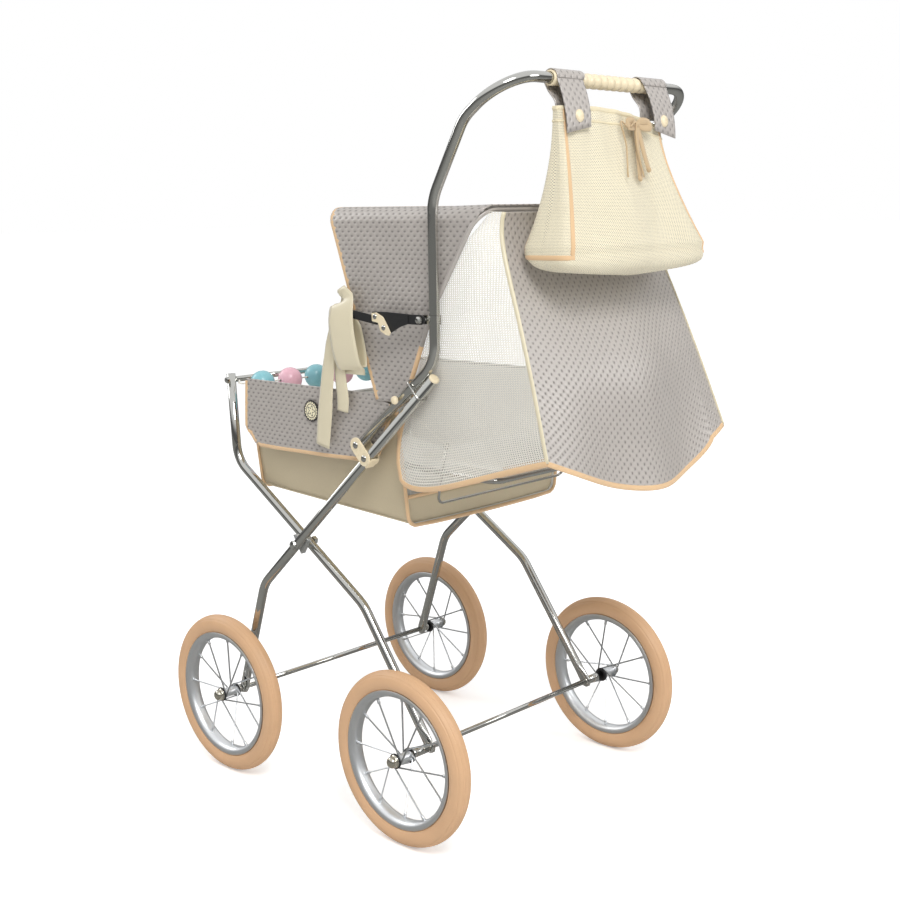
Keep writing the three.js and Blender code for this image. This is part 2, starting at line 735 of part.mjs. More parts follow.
// A wire bow over the pram, from an eye on one hood pin to an eye on the other, by way of a bend on
// each side.
function bowGeometry(plane, waist, top) {
  const eyeOuter = 4.3;
  const start = toward(HOOD_PIVOT, waist, eyeOuter - 1);
  const side = [at(plane, start), bend(at(plane, waist), 12), bend(at(plane, top), BOW_CORNER)];
  const eyes = [LEFT, RIGHT].map((hand) =>
    pin(HOOD_PIVOT, eyeOuter, hand * plane - WIRE, hand * plane + WIRE),
  );
  const holes = [LEFT, RIGHT].map((hand) =>
    pin(HOOD_PIVOT, WIRE + RUNNING_GAP, hand * plane - 5, hand * plane + 5),
  );
  return cut(join(rod([...side, ...mirroredCorners(side)], WIRE, 6), ...eyes), ...holes);
}

// The inner and outer faces of the stay's two flat links.
const LINK_FRONT_FACES = [180.6, 182.8];
const LINK_REAR_FACES = [183.2, 185.6];

function frontBowGeometry() {
  const bow = bowGeometry(FRONT_BOW_PLANE, FRONT_BOW_FOOT, FRONT_BOW_TOP);
  const pins = [LEFT, RIGHT].map((side) =>
    pin(STAY_FRONT, WIRE, FRONT_BOW_PLANE, LINK_FRONT_FACES[0] - RUNNING_GAP).scale(side, 1, 1),
  );
  return join(bow, ...pins);
}

// The pin through the handle tube that both bows hang on.
function hoodPinGeometry() {
  const outer = HANDLE_PLANE + TUBE + RUNNING_GAP;
  const inner = FRONT_BOW_PLANE - WIRE - RUNNING_GAP;
  const head = [
    [0, outer],
    [2.6, outer],
    [5, outer + 2],
    [5, outer + 4.5],
    [2.5, outer + 6.8],
    [0, outer + 7],
  ];
  return join(
    pin(HOOD_PIVOT, WIRE, inner - 1, outer + 1),
    pin(HOOD_PIVOT, 3.6, inner - 1.7, inner),
    turned(head, HOOD_PIVOT),
  );
}

// A band round the handle with a ball bolt that carries the stay.
function stayClampGeometry() {
  const [boltY, boltZ] = STAY_ANCHOR;
  const bandHalf = 5;
  const bore = TUBE + RUNNING_GAP;
  const skin = bore + 1.6;
  const ringProfile = [
    [bore, -bandHalf],
    [skin, -bandHalf],
    [skin, bandHalf],
    [bore, bandHalf],
    [bore, -bandHalf],
  ];
  const band = turned(ringProfile, [0, 0], 14).rotateZ(Math.PI / 2).rotateX(Math.PI / 2);
  band.translate(HANDLE_PLANE, HANDLE_KNEE[0], boltZ);
  const ear = new THREE.BoxGeometry(10, 7, 2 * bandHalf).translate(HANDLE_PLANE, boltY - 1, boltZ);
  const headFrom = LINK_REAR_FACES[1] + RUNNING_GAP;
  const head = [
    [0, headFrom],
    [3, headFrom + 0.2],
    [4.2, headFrom + 2.1],
    [4.2, headFrom + 4.1],
    [2.4, headFrom + 6.5],
    [0, headFrom + 6.9],
  ];
  return join(band, ear, pin(STAY_ANCHOR, WIRE, HANDLE_PLANE, headFrom + 1), turned(head, STAY_ANCHOR));
}

function rearStayGeometry() {
  const [from, to] = LINK_REAR_FACES;
  const hole = WIRE + RUNNING_GAP;
  return cut(
    plate(stadium(STAY_ANCHOR, STAY_ELBOW, STAY_HALF_WIDTH), from, to, 5),
    pin(STAY_ANCHOR, hole, from - 1, to + 1),
    pin(STAY_ELBOW, hole, from - 1, to + 1),
  );
}

function frontStayGeometry() {
  const [from, to] = LINK_FRONT_FACES;
  const link = plate(stadium(STAY_ELBOW, STAY_FRONT, STAY_HALF_WIDTH), from, to, 5);
  const rivet = join(
    pin(STAY_ELBOW, WIRE, from + 0.5, LINK_REAR_FACES[1] + 1),
    dome(STAY_ELBOW, 4.2, LINK_REAR_FACES[1] + RUNNING_GAP, LINK_REAR_FACES[1] + 3),
  );
  return join(cut(link, pin(STAY_FRONT, WIRE + RUNNING_GAP, from - 1, to + 1)), rivet);
}

add("hood_front_bow", frontBowGeometry(), chrome);
add("hood_rear_bow", bowGeometry(REAR_BOW_PLANE, REAR_BOW_WAIST, REAR_BOW_TOP), chrome);
addPair("hood_pin", hoodPinGeometry(), creamPlastic);
addPair("stay_clamp", stayClampGeometry(), chrome);
addPair("stay_rear_link", rearStayGeometry(), blackSteel);
addPair("stay_front_link", frontStayGeometry(), blackSteel);

// ---------------------------------------------------------------- hood and cape

const HOOD_BOTTOM_Z = 535;
const HOOD_CORNER = 26;

// The arch from the left hem over the top to the right hem, as evenly numbered [x, z] stations.
function archStations(half, bottom, top, radius) {
  const stations = [];
  const sideSteps = 5;
  const cornerSteps = 4;
  for (let i = 0; i < sideSteps; i += 1) {
    stations.push([half, mix(bottom, top - radius, i / sideSteps)]);
  }
  for (let i = 0; i < cornerSteps; i += 1) {
    const angle = (i / cornerSteps) * (Math.PI / 2);
    const x = half - radius + radius * Math.cos(angle);
    stations.push([x, top - radius + radius * Math.sin(angle)]);
  }
  stations.push([half - radius, top]);
  stations.push([0, top]);
  const mirrored = stations.slice(0, -1).reverse().map(([x, z]) => [-x, z]);
  return [...stations, ...mirrored];
}

function along(stations, share) {
  const place = share * (stations.length - 1);
  const index = Math.min(stations.length - 2, Math.floor(place));
  return mixPlace(stations[index], stations[index + 1], place - index);
}

const hoodArch = archStations(HOOD_HALF, HOOD_BOTTOM_Z, HOOD_TOP_Z, HOOD_CORNER);

// The rear bow's place at a given height, which the hood ends at and the cape starts from.
function rearBowY(z) {
  const belowWaist = z < REAR_BOW_WAIST[1];
  const low = belowWaist ? HOOD_PIVOT : REAR_BOW_WAIST;
  const high = belowWaist ? REAR_BOW_WAIST : REAR_BOW_TOP;
  return mix(low[0], high[0], (z - low[1]) / (high[1] - low[1]));
}

// The hood's front edge leans forwards to stand a little over the front bow.
const HOOD_FRONT_FOOT_Y = 100;
const HOOD_FRONT_TOP_Y = 27;

function hoodSurface(u, v) {
  const [x, z] = along(hoodArch, u);
  const height = (z - HOOD_BOTTOM_Z) / (HOOD_TOP_Z - HOOD_BOTTOM_Z);
  const front = mix(HOOD_FRONT_FOOT_Y, HOOD_FRONT_TOP_Y, height);
  return at(x, [mix(front, rearBowY(z) - 6, v), z]);
}

add("hood", sheet(hoodSurface, 2.5, hoodArch.length - 1, 4), greyQuilt);

const CAPE_TOP_Z = 747;
const CAPE_TOP_HALF = 152;
const CAPE_BOW_FOOT_Z = 545; // where the cape's front edge leaves the rear bow
const CAPE_FRONT_CORNER = [130, 454];

// The cape's front edge follows the rear bow down and then hangs to the hem.
function capeFrontEdge(v) {
  const bowShare = 0.72;
  const behindTheBow = 5;
  const bowFoot = [rearBowY(CAPE_BOW_FOOT_Z) + behindTheBow, CAPE_BOW_FOOT_Z];
  if (v > bowShare) {
    return mixPlace(bowFoot, CAPE_FRONT_CORNER, (v - bowShare) / (1 - bowShare));
  }
  const z = mix(CAPE_TOP_Z, bowFoot[1], v / bowShare);
  const roundTheCorner = 12 * (1 - v / bowShare) ** 8;
  return [rearBowY(z) + behindTheBow + roundTheCorner, z];
}

// The seam between the side window and the back panel.
function capeSeam(v) {
  return {
    half: mix(138, 171, v),
    y: mix(266, 370, v) + 17 * (1 - v) ** 12,
    z: mix(CAPE_TOP_Z, 486, v),
  };
}

// Each side window takes 0.3 of the width, and the back panel between them bulges out and hangs lower.
function capeSurface(u, v) {
  const sideShare = 0.3;
  const seam = capeSeam(v);
  const hand = u < 0.5 ? LEFT : RIGHT;
  const fromEdge = u < 0.5 ? u : 1 - u;
  if (fromEdge < sideShare) {
    const across = fromEdge / sideShare;
    const [frontY, frontZ] = capeFrontEdge(v);
    const dip = 26 * v ** 4 * Math.sin(Math.PI * across);
    const atTheBow = mix(CAPE_TOP_HALF, CAPE_HALF, Math.min(1, 4 * v));
    const x = mix(atTheBow, seam.half, across ** 1.6);
    return at(hand * x, [mix(frontY, seam.y, across), mix(frontZ, seam.z, across) - dip]);
  }
  const across = (fromEdge - sideShare) / (0.5 - sideShare);
  const x = hand * seam.half * (1 - across);
  const round = Math.sin((Math.PI / 2) * across);
  return at(x, [seam.y + 26 * v * round, seam.z - 42 * v ** 3 * round]);
}

add("cape", sheet(capeSurface, 2.5, 18, 7), greyQuilt);

// ---------------------------------------------------------------- ribbon bow on the hood

const BOW_PLANE = 165.5; // the ribbon's inner face, just outside the hood

function petal([y, z], length, width, angle) {
  const shape = new THREE.Shape();
  shape.absellipse(y, z, length, width, 0, 2 * Math.PI, false, angle);
  return plate(shape, BOW_PLANE, BOW_PLANE + 6, 6);
}

function ribbonTail([knotY, knotZ], [endY, endZ]) {
  const half = 9;
  const slant = 8;
  const places = [
    [knotY - half / 2, knotZ],
    [endY - half, endZ],
    [endY + half, endZ + slant],
    [knotY + half / 2, knotZ],
  ];
  return plate(outline(places), BOW_PLANE + 1, BOW_PLANE + 3);
}

function ribbonBowGeometry() {
  const knot = [56, 602];
  return join(
    petal([37, 625], 29, 14, THREE.MathUtils.degToRad(128)),
    petal([76, 588], 27, 14, THREE.MathUtils.degToRad(-38)),
    plate(stadium(knot, [knot[0], knot[1] + 1], 8), BOW_PLANE - 1, BOW_PLANE + 7.5, 3),
    ribbonTail(knot, [12, 473]),
    ribbonTail(knot, [40, 492]),
  );
}

add("ribbon_bow", ribbonBowGeometry(), satin);

// ---------------------------------------------------------------- net bag

const BAG_WALL = 2.5;

// The bag's half-width from its mouth down, and the places of its front and rear faces.
// It flares to its widest where it leans on the cape, and draws in again to its bottom.
const BAG_LEVELS = [
  { z: BAG_TOP_Z, half: 106, front: 326, rear: 344 },
  { z: BAG_WIDEST_Z, half: 122, front: 290, rear: 370 },
  { z: 690, half: 118, front: 300, rear: 373 },
  { z: BAG_BOTTOM_Z, half: 98, front: 311, rear: 366 },
];

// The rear face's place at a height above the widest level.
const bagRear = (z) => mix(370, 344, (z - BAG_WIDEST_Z) / (BAG_TOP_Z - BAG_WIDEST_Z));

function bagBlock(inset, extraTop) {
  const last = BAG_LEVELS.length - 1;
  const block = new THREE.BoxGeometry(1, 1, 1, 1, 1, last);
  const { position } = block.attributes;
  for (let i = 0; i < position.count; i += 1) {
    const step = Math.round((0.5 - position.getZ(i)) * last);
    const level = BAG_LEVELS[step];
    const x = Math.sign(position.getX(i)) * (level.half - inset);
    const y = position.getY(i) > 0 ? level.rear - inset : level.front + inset;
    const above = step === 0 ? extraTop : 0;
    const floor = step === last ? inset : 0;
    position.setXYZ(i, x, y, level.z + above + floor);
  }
  return block;
}

function netBagGeometry() {
  return cut(bagBlock(0, 0), bagBlock(BAG_WALL, 15));
}

add("net_bag", netBagGeometry(), creamNet);

// A strap looped round the grip and sewn to the bag's rear face.
function bagStrapGeometry() {
  const [y, z] = GRIP;
  const inner = GRIP_RADIUS + RUNNING_GAP;
  const ring = new THREE.Shape();
  ring.absarc(y, z, inner + 1.6, 0, 2 * Math.PI);
  const hole = new THREE.Path();
  hole.absarc(y, z, inner, 0, 2 * Math.PI);
  ring.holes.push(hole);
  const lowEnd = 840;
  const thickness = 2;
  const sewn = bagRear(lowEnd) + RUNNING_GAP + 0.2;
  const top = bagRear(BAG_TOP_Z) + RUNNING_GAP + 0.2;
  const tail = outline([
    [y + 3, z - 9.4],
    [top, BAG_TOP_Z + 1],
    [sewn, lowEnd],
    [sewn + thickness, lowEnd],
    [top + thickness, BAG_TOP_Z + 2],
    [y + 8.4, z - 5],
  ]);
  return join(plate(ring, STRAP_INNER, STRAP_OUTER, 8), plate(tail, STRAP_INNER, STRAP_OUTER));
}

addPair("bag_strap", bagStrapGeometry(), greyQuilt);

// The two free ends of the drawstring, which hang from the knot on the bag's rear face.
function drawstringGeometry(side) {
  const away = (z) => bagRear(z) + 2;
  const places = [[3, 842], [14, 846], [10, 822], [15, 786]];
  const points = places.map(([x, z]) => at(side * x, [away(z), z]));
  return cord(points, CORD, 12);
}

add("drawstring_left", drawstringGeometry(LEFT), cordFibre);
add("drawstring_right", drawstringGeometry(RIGHT), cordFibre);

export default model;
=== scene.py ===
"""The doll's pram's looks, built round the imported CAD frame. Blender 4.5, metres, the CAD's own axes."""

import math

import bmesh
import bpy
import numpy as np
from mathutils import Matrix, Vector


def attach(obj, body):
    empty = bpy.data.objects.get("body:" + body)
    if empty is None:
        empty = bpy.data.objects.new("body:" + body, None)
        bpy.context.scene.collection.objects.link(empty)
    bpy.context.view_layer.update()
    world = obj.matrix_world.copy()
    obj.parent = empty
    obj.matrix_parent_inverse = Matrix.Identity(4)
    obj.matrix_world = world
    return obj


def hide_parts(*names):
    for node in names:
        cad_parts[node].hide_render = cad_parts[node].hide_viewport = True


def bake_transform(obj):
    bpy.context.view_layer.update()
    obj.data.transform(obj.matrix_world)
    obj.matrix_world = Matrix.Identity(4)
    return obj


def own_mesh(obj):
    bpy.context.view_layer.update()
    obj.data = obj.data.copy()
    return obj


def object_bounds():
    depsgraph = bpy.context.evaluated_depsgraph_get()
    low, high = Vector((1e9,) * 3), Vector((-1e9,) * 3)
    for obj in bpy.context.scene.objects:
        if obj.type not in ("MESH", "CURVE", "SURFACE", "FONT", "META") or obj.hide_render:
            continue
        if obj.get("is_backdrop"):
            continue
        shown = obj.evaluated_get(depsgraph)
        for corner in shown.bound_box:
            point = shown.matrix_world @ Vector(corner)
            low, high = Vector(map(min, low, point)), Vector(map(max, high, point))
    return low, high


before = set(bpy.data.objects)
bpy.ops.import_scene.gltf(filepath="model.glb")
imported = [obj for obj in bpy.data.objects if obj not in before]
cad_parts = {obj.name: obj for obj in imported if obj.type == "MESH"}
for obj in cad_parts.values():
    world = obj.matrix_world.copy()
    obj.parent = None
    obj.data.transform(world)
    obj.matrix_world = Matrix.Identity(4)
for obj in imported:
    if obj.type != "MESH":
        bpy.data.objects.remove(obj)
CAD_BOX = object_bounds()

# ---------------------------------------------------------------- places and sizes
# Side-view places are (y, z) in millimetres, y from the middle of the wheelbase, as in the CAD source.
MM = 0.001
LENGTH_CENTRE = 59.6
LEFT, RIGHT = 1, -1
SIDES = (("left", LEFT), ("right", RIGHT))

WHEEL_RADIUS = 108
WHEEL_PLANE = 202
FRONT_AXLE, REAR_AXLE = (-170, 108), (170, 108)
TYRE_SECTION = 12.7
TUBE, AXLE, WIRE, CORD = 6, 3.5, 2, 1.2
FRONT_LEG_PLANE, REAR_LEG_PLANE, HANDLE_PLANE = 174, 154, 174
FRONT_LEG_KNEE, FRONT_LEG_TOP = (-116.5, 265.3), (206, 564)
REAR_LEG_KNEE, REAR_LEG_ELBOW, REAR_LEG_TOP = (57, 265), (-189.5, 423), (-197, 540)
FRONT_BAR = (-196, 532)
HANDLE_PIVOT, HANDLE_KNEE, HANDLE_SHOULDER = (81, 476), (209, 583.4), (209, 764)
HANDLE_NECK, GRIP = (258, 850), (318, 891)
GRIP_HALF, GRIP_RADIUS = 103, 8.4
CLAMP_ON_LEG = (95, 461.2)

TUB_FRONT, TUB_REAR, TUB_RIM_Z = -153, 126, 533
TUB_FRONT_LIP_Z, TUB_REAR_LIP_Z = 500, 410
TUB_BOTTOM_Z, TUB_BOTTOM_HALF, TUB_RIM_HALF = 374, 138, 157
APRON_PLANE = 161
BADGE_CENTRE = (-18, 507)
BACKREST_HINGE, BACKREST_END, BACKREST_HALF = (108, 446), 255, 125

HOOD_PIVOT = (152, 537)
HOOD_HALF, HOOD_TOP_Z, HOOD_BOTTOM_Z, HOOD_CORNER = 164, 757, 532, 19
FRONT_BOW_PLANE, REAR_BOW_PLANE = 160.6, 165.2
FRONT_BOW_FOOT, FRONT_BOW_TOP = (112, 543), (36, 754)
REAR_BOW_WAIST, REAR_BOW_TOP = (196, 638), (270, 753)
STAY_ELBOW, STAY_FRONT = (123, 628), (79, 634)

BAG_TOP_Z, BAG_WIDEST_Z, BAG_BOTTOM_Z = 853, 712, 672
BALLS, BALL_RADIUS, BALL_SPACING = 6, 16.8, 48


def place(x, at):
    """A point at x across the pram and (y, z) from the side, in metres."""
    return Vector((x, at[0] - LENGTH_CENTRE, at[1])) * MM


def mix(a, b, t):
    """From a to b, as t goes from 0 to 1."""
    return a + (b - a) * t


def smooth(t):
    """0 below 0 and 1 above 1, with a gentle start and end between."""
    t = min(1.0, max(0.0, t))
    return t * t * (3 - 2 * t)


# ---------------------------------------------------------------- camera
CAMERA_AT = Vector((1.2467, 1.1984, 0.7512))
CAMERA_YAW, CAMERA_PITCH, CAMERA_ROLL = 46.23, 10.127, -0.866
LENS, SENSOR = 53.36, 36


def make_camera():
    """Looks down by the pitch and leans by the roll. The angles are in degrees, the lens and sensor in mm."""
    data = bpy.data.cameras.new("camera")
    data.lens, data.sensor_width = LENS, SENSOR
    camera = bpy.data.objects.new("camera", data)
    bpy.context.scene.collection.objects.link(camera)
    yaw, pitch, roll = (math.radians(angle) for angle in (CAMERA_YAW, CAMERA_PITCH, CAMERA_ROLL))
    ahead = Vector((-math.sin(yaw) * math.cos(pitch), -math.cos(yaw) * math.cos(pitch), -math.sin(pitch)))
    level = ahead.cross(Vector((0, 0, 1))).normalized()
    up = level.cross(ahead)
    right = math.cos(roll) * level + math.sin(roll) * up
    above = -math.sin(roll) * level + math.cos(roll) * up
    turn = Matrix((right, above, -ahead)).transposed().to_4x4()
    camera.matrix_world = Matrix.Translation(CAMERA_AT) @ turn
    bpy.context.scene.camera = camera


make_camera()


# ---------------------------------------------------------------- mesh helpers
def new_piece(name, vertices, faces, material, flat=None, shade_smooth=True):
    """A mesh object. flat gives each vertex's place on the cloth before it was sewn, in metres."""
    mesh = bpy.data.meshes.new(name)
    mesh.from_pydata([tuple(v) for v in vertices], [], faces)
    mesh.validate()
    piece = bpy.data.objects.new(name, mesh)
    bpy.context.scene.collection.objects.link(piece)
    for one in material if isinstance(material, (list, tuple)) else [material]:
        mesh.materials.append(one)
    if flat is not None:
        store = mesh.attributes.new("flat", "FLOAT_VECTOR", "POINT")
        store.data.foreach_set("vector", np.array([(a, b, 0) for a, b in flat], np.float32).ravel())
    if shade_smooth:
        mesh.shade_smooth()
    else:
        mesh.shade_flat()
    return piece


def apply_modifiers(piece):
    """Swaps the mesh for what its modifiers make of it."""
    graph = bpy.context.evaluated_depsgraph_get()
    graph.update()
    made = bpy.data.meshes.new_from_object(piece.evaluated_get(graph))
    piece.modifiers.clear()
    piece.data = made
    return piece


def face_out(piece, merge=0.0):
    """Turns every face outwards, once points closer than merge metres are made one."""
    edit = bmesh.new()
    edit.from_mesh(piece.data)
    if merge:
        bmesh.ops.remove_doubles(edit, verts=edit.verts, dist=merge)
    bmesh.ops.recalc_face_normals(edit, faces=edit.faces)
    edit.to_mesh(piece.data)
    edit.free()
    return piece


def grid(name, point, columns, rows, material, flat=None, wrap=False):
    """A surface through point(u, v), with u and v from 0 to 1. wrap joins its two u ends."""
    across = columns if wrap else columns + 1
    vertices, cloth = [], []
    for j in range(rows + 1):
        for i in range(across):
            vertices.append(point(i / columns, j / rows))
            if flat:
                cloth.append(flat(i / columns, j / rows))
    faces = []
    for j in range(rows):
        for i in range(columns):
            k = (i + 1) % across
            faces.append((j * across + i, j * across + k, (j + 1) * across + k, (j + 1) * across + i))
    return new_piece(name, vertices, faces, material, cloth if flat else None)


def inward_sign(piece, centre):
    """1 if the sheet's normals point at the centre already, else -1."""
    lean = sum((face.center - centre).dot(face.normal) * face.area for face in piece.data.polygons)
    return -1 if lean > 0 else 1


def dimple(piece, centre):
    """Presses the quilting's dimples into the mesh, towards the centre."""
    count = len(piece.data.vertices)
    places, normals, cloth = (np.empty(count * 3, np.float32) for _ in range(3))
    piece.data.vertices.foreach_get("co", places)
    piece.data.vertex_normals.foreach_get("vector", normals)
    piece.data.attributes["flat"].data.foreach_get("vector", cloth)
    cloth = cloth.reshape(-1, 3)
    wave = np.cos(2 * np.pi * cloth[:, 0] / QUILT_PITCH) * np.cos(2 * np.pi * cloth[:, 1] / QUILT_PITCH)
    depth = DIMPLE_DEPTH * MM * np.clip(wave, 0, 1) ** 2 * inward_sign(piece, centre)
    moved = places.reshape(-1, 3) + normals.reshape(-1, 3) * depth[:, None]
    piece.data.vertices.foreach_set("co", moved.ravel())
    piece.data.update()


def ring_faces(count, sides, closed=False):
    """The faces of a bar made of rings of points, with a face on each end unless it closes on itself."""
    faces = []
    for i in range(count if closed else count - 1):
        here, there = i * sides, (i + 1) % count * sides
        for k in range(sides):
            m = (k + 1) % sides
            faces.append((here + k, here + m, there + m, there + k))
    if not closed:
        faces.append(tuple(reversed(range(sides))))
        faces.append(tuple(range((count - 1) * sides, count * sides)))
    return faces


def band(name, point, route, width, material, thick=1.0, sides=12, wraps=False):
    """A flat binding folded over a surface's edge. The route is (u, v) places on the surface, wraps says that
    the surface closes on itself in u, and width and thick are in mm."""
    reach = 0.004
    line, normals = [], []
    for u, v in route:
        low_u, high_u = u - reach, u + reach
        if not wraps:
            low_u, high_u = max(0, low_u), min(1, high_u)
        du = point(high_u, v) - point(low_u, v)
        dv = point(u, min(1, v + reach)) - point(u, max(0, v - reach))
        normal = du.cross(dv)
        line.append(point(u, v))
        normals.append(normal.normalized() if normal.length > 1e-12 else normals[-1])
    vertices = []
    for i, (centre, normal) in enumerate(zip(line, normals)):
        ahead = (line[min(i + 1, len(line) - 1)] - line[max(i - 1, 0)]).normalized()
        across = ahead.cross(normal).normalized()
        for k in range(sides):
            angle = 2 * math.pi * k / sides
            up = normal * thick * math.cos(angle)
            vertices.append(centre + (up + across * width / 2 * math.sin(angle)) * MM)
    return face_out(new_piece(name, vertices, ring_faces(len(line), sides), material))


def thicken(piece, thickness, offset=0.0, inner_slot=0):
    """Gives a sheet its thickness in mm. inner_slot is how many material slots on the new side's look is."""
    solid = piece.modifiers.new("thickness", "SOLIDIFY")
    solid.thickness, solid.offset, solid.material_offset = thickness * MM, offset, inner_slot
    return apply_modifiers(piece)


def round_corners(corners, step=math.radians(7)):
    """A line through (point, bend radius) corners, with arcs at the bends. Points are in metres."""
    line = [corners[0][0]]
    for (before, _), (corner, radius), (after, _) in zip(corners, corners[1:], corners[2:]):
        incoming, outgoing = (corner - before).normalized(), (after - corner).normalized()
        turn = incoming.angle(outgoing)
        start = corner - incoming * radius * MM * math.tan(turn / 2)
        axis = incoming.cross(outgoing).normalized()
        centre = start + axis.cross(incoming) * radius * MM
        steps = max(1, math.ceil(turn / step))
        for k in range(steps + 1):
            line.append(centre + Matrix.Rotation(turn * k / steps, 3, axis) @ (start - centre))
    line.append(corners[-1][0])
    return line


def tube(name, line, radius, material, sides=20, closed=False, first=None, twist=0.0, lobes=0):
    """A round bar along the line. radius is in mm: a number, or per station a number or (first, second) pair.
    first is where the first radius points at the start. lobes and twist, in turns per metre, make a laid
    cord of it."""
    count = len(line)
    radii = [radius] * count if isinstance(radius, (int, float)) else radius
    reach = [line[(i + 1) % count] - line[i - 1] for i in range(count)]
    if not closed:
        reach[0], reach[-1] = line[1] - line[0], line[-1] - line[-2]
    tangents = [r.normalized() for r in reach]
    normal = first or Vector((1, 0, 0))
    if abs(normal.dot(tangents[0])) > 0.9:
        normal = Vector((0, 0, 1))
    vertices, walked = [], 0.0
    for i, (centre, tangent) in enumerate(zip(line, tangents)):
        if i:
            normal = tangents[i - 1].rotation_difference(tangent) @ normal
            walked += (centre - line[i - 1]).length
        normal = (normal - tangent * normal.dot(tangent)).normalized()
        second = tangent.cross(normal)
        a, b = radii[i] if isinstance(radii[i], tuple) else (radii[i], radii[i])
        for k in range(sides):
            angle = 2 * math.pi * k / sides
            lay = 1
            if lobes:
                turned_by = angle + 2 * math.pi * twist * walked
                lay = 1 - 0.22 * abs(math.sin(0.5 * lobes * turned_by))
            vertices.append(centre + (normal * a * math.cos(angle) + second * b * math.sin(angle)) * lay * MM)
    return face_out(new_piece(name, vertices, ring_faces(count, sides, closed), material))


def catmull(points, steps):
    """A smooth line through the points, with that many pieces between each two."""
    ends = [2 * points[0] - points[1], *points, 2 * points[-1] - points[-2]]
    line = []
    for a, b, c, d in zip(ends, ends[1:], ends[2:], ends[3:]):
        for k in range(steps):
            t = k / steps
            square, cube = 2 * a - 5 * b + 4 * c - d, 3 * b - a - 3 * c + d
            line.append(0.5 * (2 * b + (c - a) * t + square * t * t + cube * t**3))
    return [*line, points[-1]]


def turned(name, profile, at, material, segments=64, side=LEFT, slots=None):
    """A turned piece about an axis across the pram through `at`. The profile is (radius, x) pairs in mm, and
    slots gives the material slot of each step of it."""
    count = len(profile)
    closed = profile[0] == profile[-1]
    ring = profile[:-1] if closed else profile
    vertices = [
        place(side * x, (at[0] + r * math.sin(a), at[1] + r * math.cos(a)))
        for a in (2 * math.pi * k / segments for k in range(segments))
        for r, x in ring
    ]
    n = len(ring)
    faces, kinds = [], []
    for k in range(segments):
        for i in range(n if closed else n - 1):
            j = (i + 1) % n
            m = (k + 1) % segments
            faces.append((k * n + i, k * n + j, m * n + j, m * n + i))
            kinds.append(slots[i] if slots else 0)
    piece = new_piece(name, vertices, faces, material)
    if slots:
        piece.data.polygons.foreach_set("material_index", kinds[: len(piece.data.polygons)])
    return face_out(piece, 1e-6)


def plate(name, outline, x_from, x_to, material, bevel=0.4, side=LEFT):
    """A flat plate whose outline is (y, z) places, from one x to another, with rounded edges."""
    n = len(outline)
    vertices = [place(side * x, at) for x in (x_from, x_to) for at in outline]
    faces = [tuple(range(n)), tuple(reversed(range(n, 2 * n)))]
    faces += [(i, i + n, (i + 1) % n + n, (i + 1) % n) for i in range(n)]
    piece = face_out(new_piece(name, vertices, faces, material, shade_smooth=False))
    if bevel:
        rounding = piece.modifiers.new("edges", "BEVEL")
        rounding.width, rounding.segments, rounding.limit_method = bevel * MM, 3, "ANGLE"
        rounding.angle_limit = math.radians(40)
        apply_modifiers(piece)
    return piece


def stadium(start, end, half_width, steps=12):
    """The outline of a bar with round ends."""
    ahead = math.atan2(end[1] - start[1], end[0] - start[0])
    outline = []
    for at, first in ((start, ahead + math.pi / 2), (end, ahead - math.pi / 2)):
        for k in range(steps + 1):
            angle = first + math.pi * k / steps
            outline.append((at[0] + half_width * math.cos(angle), at[1] + half_width * math.sin(angle)))
    return outline


def join(name, pieces):
    """One object of several, which keeps each one's materials."""
    with bpy.context.temp_override(
        active_object=pieces[0], selected_editable_objects=pieces, selected_objects=pieces
    ):
        bpy.ops.object.join()
    pieces[0].name = name
    pieces[0].data.name = name
    return pieces[0]


def dome(at, radius, x_from, height, material, side=LEFT):
    """A rivet's domed head, on an axis across the pram."""
    steps = 6
    profile = [
        (radius * math.cos(0.5 * math.pi * k / steps), x_from + height * math.sin(0.5 * math.pi * k / steps))
        for k in range(steps + 1)
    ]
    return turned("dome", [(0, x_from), *profile[:-1], (0, x_from + height)], at, material, 24, side)


